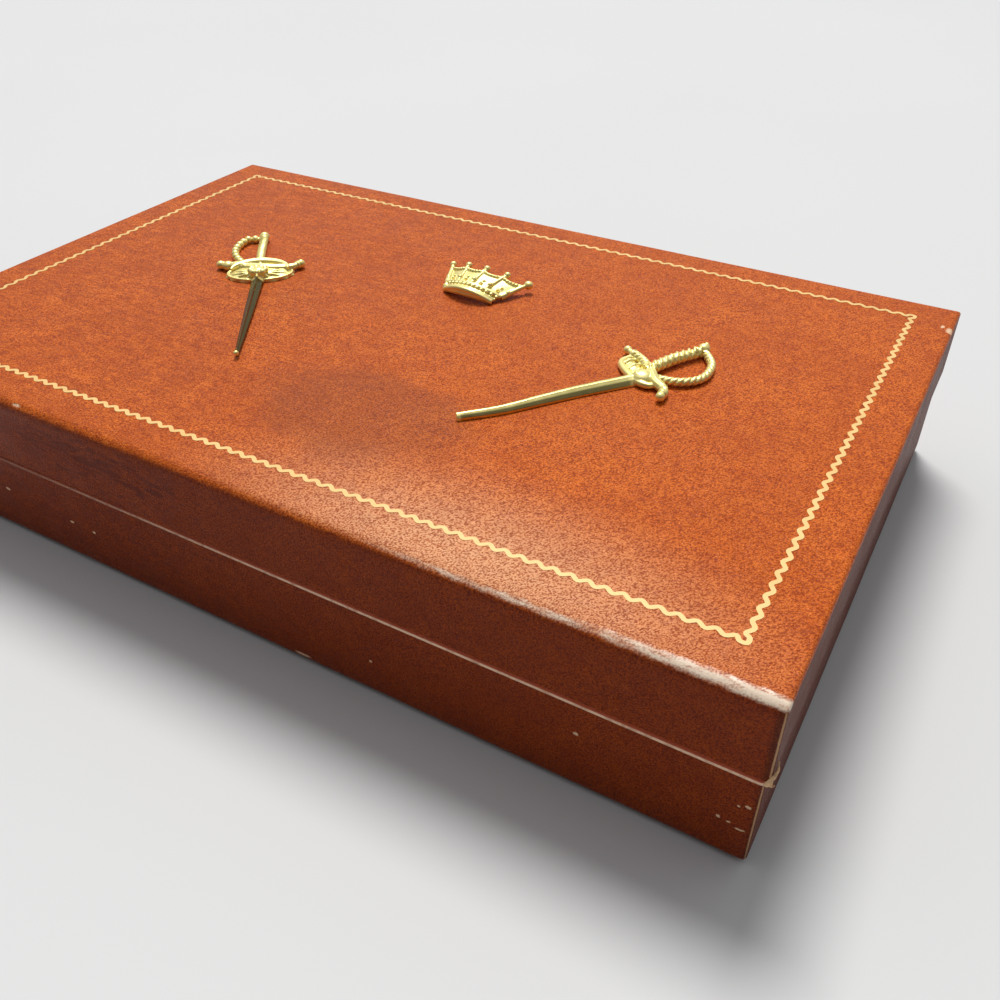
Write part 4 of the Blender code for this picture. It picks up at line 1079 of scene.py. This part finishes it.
def gilt_border(material, cover):
    """Lays the border as a flat ribbon and presses it on to the covering."""
    ribbon = swept(wave_line(), [border_line / 2] * 2, [(-1, 0), (-0.34, 0), (0.34, 0), (1, 0)],
                   closed=True)
    ribbon.data.name = "ribbon"
    modify(ribbon, "SHRINKWRAP", target=cover, wrap_method="NEAREST_SURFACEPOINT",
           wrap_mode="ABOVE_SURFACE", offset=foil_rise)
    edit_all(ribbon)
    bpy.ops.mesh.normals_make_consistent(inside=False)
    done()
    upward = sum(face.normal.z * face.area for face in ribbon.data.polygons)
    modify(ribbon, "SOLIDIFY", thickness=foil_thickness, offset=1 if upward > 0 else -1)
    smooth(ribbon, crisp_angle)
    return in_place(ribbon, "gilt_border", material, "lid", ["gold_border"])


def torn_corner(material):
    """Makes the frayed knob of backing that stands out at the lid's lower front corner."""
    corner = Vector((lid_high.x - 0.0002, lid_low.y + 0.0002, lid_low.z))
    bits = [bead(corner + Vector(shift), radius) for shift, radius in (
        ((0, 0, 0.0001), 0.0007), ((0.0001, -0.0001, 0.0008), 0.0006),
        ((-0.0004, -0.0002, -0.0003), 0.0005), ((0.0001, 0.0004, 0.0014), 0.0004))]
    flap = smooth_route([corner + Vector(place) for place in (
        (0.0002, 0.0003, 0.0010), (0.0006, 0.0011, 0.0016), (0.0007, 0.0021, 0.0026),
        (0.0004, 0.0030, 0.0034))], 6)
    bits.append(swept(flap, [0.0005, 0.0004, 0.0003, 0.00012]))
    thread = smooth_route([corner + Vector(place) for place in (
        (0.0001, -0.0003, 0.0005), (0.0007, -0.0007, 0.0002), (0.0011, -0.0003, 0.0006))], 6)
    bits.append(swept(thread, [0.0002, 0.00014, 0.0001]))
    knob = joined("torn_corner", bits)
    modify(knob, "REMESH", mode="VOXEL", voxel_size=fray_voxel)
    modify(knob, "DISPLACE", texture=cloud_texture("fray", 0.0005, 3), strength=0.0004,
           mid_level=0.5, texture_coords="LOCAL")
    smooth(knob)
    in_place(knob, "torn_corner", material, "lid")


def swell(piece, pinned, pressure, slack, cap):
    """Swells a padded piece by cloth simulation, and holds each point within a cap."""
    begun = [point.co.copy() for point in piece.data.vertices]
    piece.vertex_groups.new(name="pinned").add(pinned, 1.0, "REPLACE")
    only(piece)
    cloth = piece.modifiers.new("Cloth", "CLOTH")
    cloth.settings.quality = 4
    cloth.settings.mass = 0.15
    cloth.settings.tension_stiffness = 12
    cloth.settings.compression_stiffness = 12
    cloth.settings.shear_stiffness = 5
    cloth.settings.bending_stiffness = 0.2
    cloth.settings.shrink_min = -slack
    cloth.settings.vertex_group_mass = "pinned"
    cloth.settings.use_pressure = True
    cloth.settings.uniform_pressure_force = pressure
    cloth.settings.effector_weights.gravity = 0
    cloth.point_cache.frame_start = 1
    cloth.point_cache.frame_end = swell_frames
    for frame_number in range(1, swell_frames + 1):
        bpy.context.scene.frame_set(frame_number)
    bpy.ops.object.modifier_apply(modifier="Cloth")
    bpy.context.scene.frame_set(1)
    piece.vertex_groups.clear()
    for point, start in zip(piece.data.vertices, begun):
        shift = point.co - start
        if shift.length > 0:
            point.co = start + shift * cap * math.tanh(shift.length / cap) / shift.length


def gather_edge(pad, middle, half, edge_level):
    """Lays soft gathers all round the satin's edge, fading towards the middle."""
    for point in pad.data.vertices:
        inwards = Vector((half.x - abs(point.co.x - middle.x), half.y - abs(point.co.y - middle.y)))
        from_edge = min(inwards)
        along = point.co.y if inwards.x < inwards.y else point.co.x
        gather = math.sin(along / pad_gather * 2 * math.pi + 2.0 * math.sin(along * 47))
        fade = min(from_edge / pad_cell, 1) * math.exp(-from_edge / pad_gather)
        point.co.z = min(point.co.z - pad_fold * gather * fade, edge_level)


def close_back(pad):
    """Draws the satin's edge back in two rows and closes the pad behind."""
    only(pad)
    bpy.ops.object.mode_set(mode="EDIT")
    bpy.ops.mesh.select_all(action="DESELECT")
    bpy.ops.mesh.select_mode(type="EDGE")
    bpy.ops.mesh.select_non_manifold()
    for row in range(2):
        bpy.ops.mesh.extrude_region_move(
            TRANSFORM_OT_translate={"value": (0, 0, pad_edge_rise / 2 - pad_clear / 4)})
    bpy.ops.mesh.edge_face_add()
    done()


def bulge(across, along):
    """Gives how far the pad swells, from 1 in the middle to 0 at its edge at -1 and 1."""
    return (1 - across ** 8) * (1 - along ** 8)


def satin_pad(material):
    """Pads the lid with satin: pinned round its edge, swollen down, closed at its back."""
    low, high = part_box("lid_pad")
    middle = (low + high) / 2
    half = Vector((high.x - low.x, high.y - low.y, 0)) / 2 - Vector((pad_clear, pad_clear, 0))
    edge_level = high.z - pad_edge_rise
    bpy.ops.object.select_all(action="DESELECT")
    bpy.ops.mesh.primitive_grid_add(x_subdivisions=round(2 * half.x / pad_cell),
                                    y_subdivisions=round(2 * half.y / pad_cell), size=2,
                                    location=(0, 0, 0))
    pad = newest("satin_pad")
    pinned = []
    for point in pad.data.vertices:
        across, along = point.co.x, point.co.y
        if max(abs(across), abs(along)) > 0.999:
            pinned.append(point.index)
        point.co = (middle.x + half.x * across, middle.y + half.y * along,
                    edge_level - 0.2 * pad_swell * bulge(across, along))
    edit_all(pad)
    bpy.ops.mesh.flip_normals()
    done()
    swell(pad, pinned, swell_pressure, pad_slack, 0.8 * pad_swell)
    modify(pad, "SUBSURF", levels=1, render_levels=1)
    gather_edge(pad, middle, half, edge_level)
    close_back(pad)
    smooth(pad, soft_angle)
    in_place(pad, "satin_pad", material, "lid", ["lid_pad"])


def ring_roll(index, material):
    """Makes one velvet ring roll: soft foam rolled in velvet, its ends gathered in."""
    low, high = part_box("ring_roll_" + str(index))
    middle = (low + high) / 2
    radius = min(high.y - low.y, high.z - low.z) / 2 - roll_clear
    length = high.x - low.x - 2 * roll_clear
    bpy.ops.object.select_all(action="DESELECT")
    bpy.ops.mesh.primitive_cylinder_add(vertices=roll_sides, radius=radius, depth=length,
                                        end_fill_type="TRIFAN", location=middle,
                                        rotation=(0, math.pi / 2, 0))
    roll = settled("velvet_roll_" + str(index))
    choose(roll, lambda centre, face: abs(face.normal.x) > 0.9)
    bpy.ops.mesh.poke()
    done()
    start, end = middle.x - length / 2, middle.x + length / 2
    cut_evenly(roll, 0, start + roll_end, end - roll_end, roll_cell)
    slice_at(roll, 0, *[level for share in (0.0, 0.12, 0.3, 0.55, 1.0)
                        for level in (start + roll_end * share, end - roll_end * share)][2:])
    for point in roll.data.vertices:
        side, up = point.co.y - middle.y, point.co.z - middle.z
        angle = math.atan2(up, side)
        near_end = min(point.co.x - start, end - point.co.x) / roll_end
        draw = 1.0
        if near_end < 1:
            bow = math.sqrt(1 - (1 - max(near_end, 0)) ** 2)
            draw = roll_end_size + (1 - roll_end_size) * bow
            pleat = 0.5 + 0.5 * math.cos(roll_pleats * angle + index)
            draw *= 1 - roll_pleat_depth * (1 - near_end) * pleat
        wave = roll_wave * math.sin(point.co.x * 190 + index * 1.7) * math.cos(2 * angle + index)
        point.co.y = middle.y + side * draw * (1 - 0.5 * abs(wave))
        point.co.z = max(middle.z + up * draw * (1 + wave if up > 0 else 1), low.z + roll_clear)
    for point in roll.data.vertices:
        point.co.y = min(max(point.co.y, low.y + roll_clear / 3), high.y - roll_clear / 3)
        point.co.z = min(max(point.co.z, low.z + roll_clear / 3), high.z + roll_clear)
    smooth(roll)
    in_place(roll, "velvet_roll_" + str(index), material, "base",
             ["ring_roll_" + str(index)])


def finish_frame(materials):
    """Gives the nodes that are carried over their materials."""
    for name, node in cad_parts.items():
        if node.hide_render:
            continue
        kind = "hinge_brass"
        if name.endswith("_board"):
            kind = "poplar"
        elif "liner" in name or "divider" in name:
            kind = "velvet"
        elif name == "bottom_felt":
            kind = "felt"
        for slot in node.material_slots:
            slot.material = materials[kind]


def lay_floor():
    """Lays a plain pale floor."""
    bpy.ops.object.select_all(action="DESELECT")
    bpy.ops.mesh.primitive_plane_add(size=floor_size, location=(0, 0, 0))
    floor = newest("floor")
    finish = Finish("pale_floor")
    tone = finish.noise(0.4, 2.0, 0.5)
    colour = finish.mix(tone, as_seen(204, 203, 201), as_seen(212, 211, 209))
    floor.data.materials.append(finish.set(base_color=colour, roughness=0.7))


def light_room():
    """Lights the room softly, more from the lamp's side, and adds the broad lamp."""
    world = bpy.data.worlds.new("soft_room")
    world.use_nodes = True
    nodes, links = world.node_tree.nodes, world.node_tree.links
    facing = nodes.new("ShaderNodeVectorMath")
    facing.operation = "DOT_PRODUCT"
    links.new(nodes.new("ShaderNodeTexCoord").outputs["Generated"], facing.inputs[0])
    facing.inputs[1].default_value = lamp_from
    rise = nodes.new("ShaderNodeMapRange")
    links.new(facing.outputs["Value"], rise.inputs["Value"])
    rise.interpolation_type = "SMOOTHSTEP"
    rise.inputs["From Min"].default_value = room_light_from
    rise.inputs["To Min"].default_value, rise.inputs["To Max"].default_value = room_light
    background = nodes["Background"]
    background.inputs["Color"].default_value = room_colour
    links.new(rise.outputs["Result"], background.inputs["Strength"])
    bpy.context.scene.world = world

    lamp = bpy.data.lights.new("soft_lamp", "SUN")
    lamp.angle = lamp_spread
    lamp.energy = lamp_strength
    holder = bpy.data.objects.new("soft_lamp", lamp)
    bpy.context.scene.collection.objects.link(holder)
    holder.rotation_euler = lamp_from.to_track_quat("Z", "Y").to_euler()


def aim_camera():
    """Sets the camera where the photograph was taken from."""
    camera = bpy.data.cameras.new("camera")
    camera.lens = camera_lens
    camera.sensor_width = camera_sensor
    camera.clip_start = 0.01
    holder = bpy.data.objects.new("camera", camera)
    bpy.context.scene.collection.objects.link(holder)
    facing = (camera_aim - camera_place).to_track_quat("-Z", "Y").to_matrix().to_4x4()
    roll = Matrix.Rotation(camera_roll, 4, "Z")
    holder.matrix_world = Matrix.Translation(camera_place) @ facing @ roll
    bpy.context.scene.camera = holder
    bpy.context.scene.view_settings.view_transform = "Standard"


lid_leatherette = leatherette("lid_leatherette", lid_top - lid_wall_start, lid_seams, lid_nicks)
base_leatherette = leatherette("base_leatherette", lid_low.z, base_seams, base_nicks)
finishes = {"hinge_brass": hinge_brass(), "poplar": poplar(), "satin": satin(), "felt": felt(),
            "velvet": velvet("velvet", as_seen(78, 18, 22), as_seen(102, 27, 30)),
            "gilding": gilding(), "gilt_casting": gilt_casting(), "backing": raw_backing()}

lid_cover = covering("lid", lid_low, lid_high, lid_radii, False, lid_leatherette)
covering("base", base_low, base_high, base_radii, True, base_leatherette)

smallsword(finishes["gilt_casting"])
sabre(finishes["gilt_casting"])
crown(finishes["gilt_casting"])
gilt_border(finishes["gilding"], lid_cover)
torn_corner(finishes["backing"])
satin_pad(finishes["satin"])
for number in (1, 2, 3):
    ring_roll(number, finishes["velvet"])

finish_frame(finishes)
lay_floor()
light_room()
aim_camera()
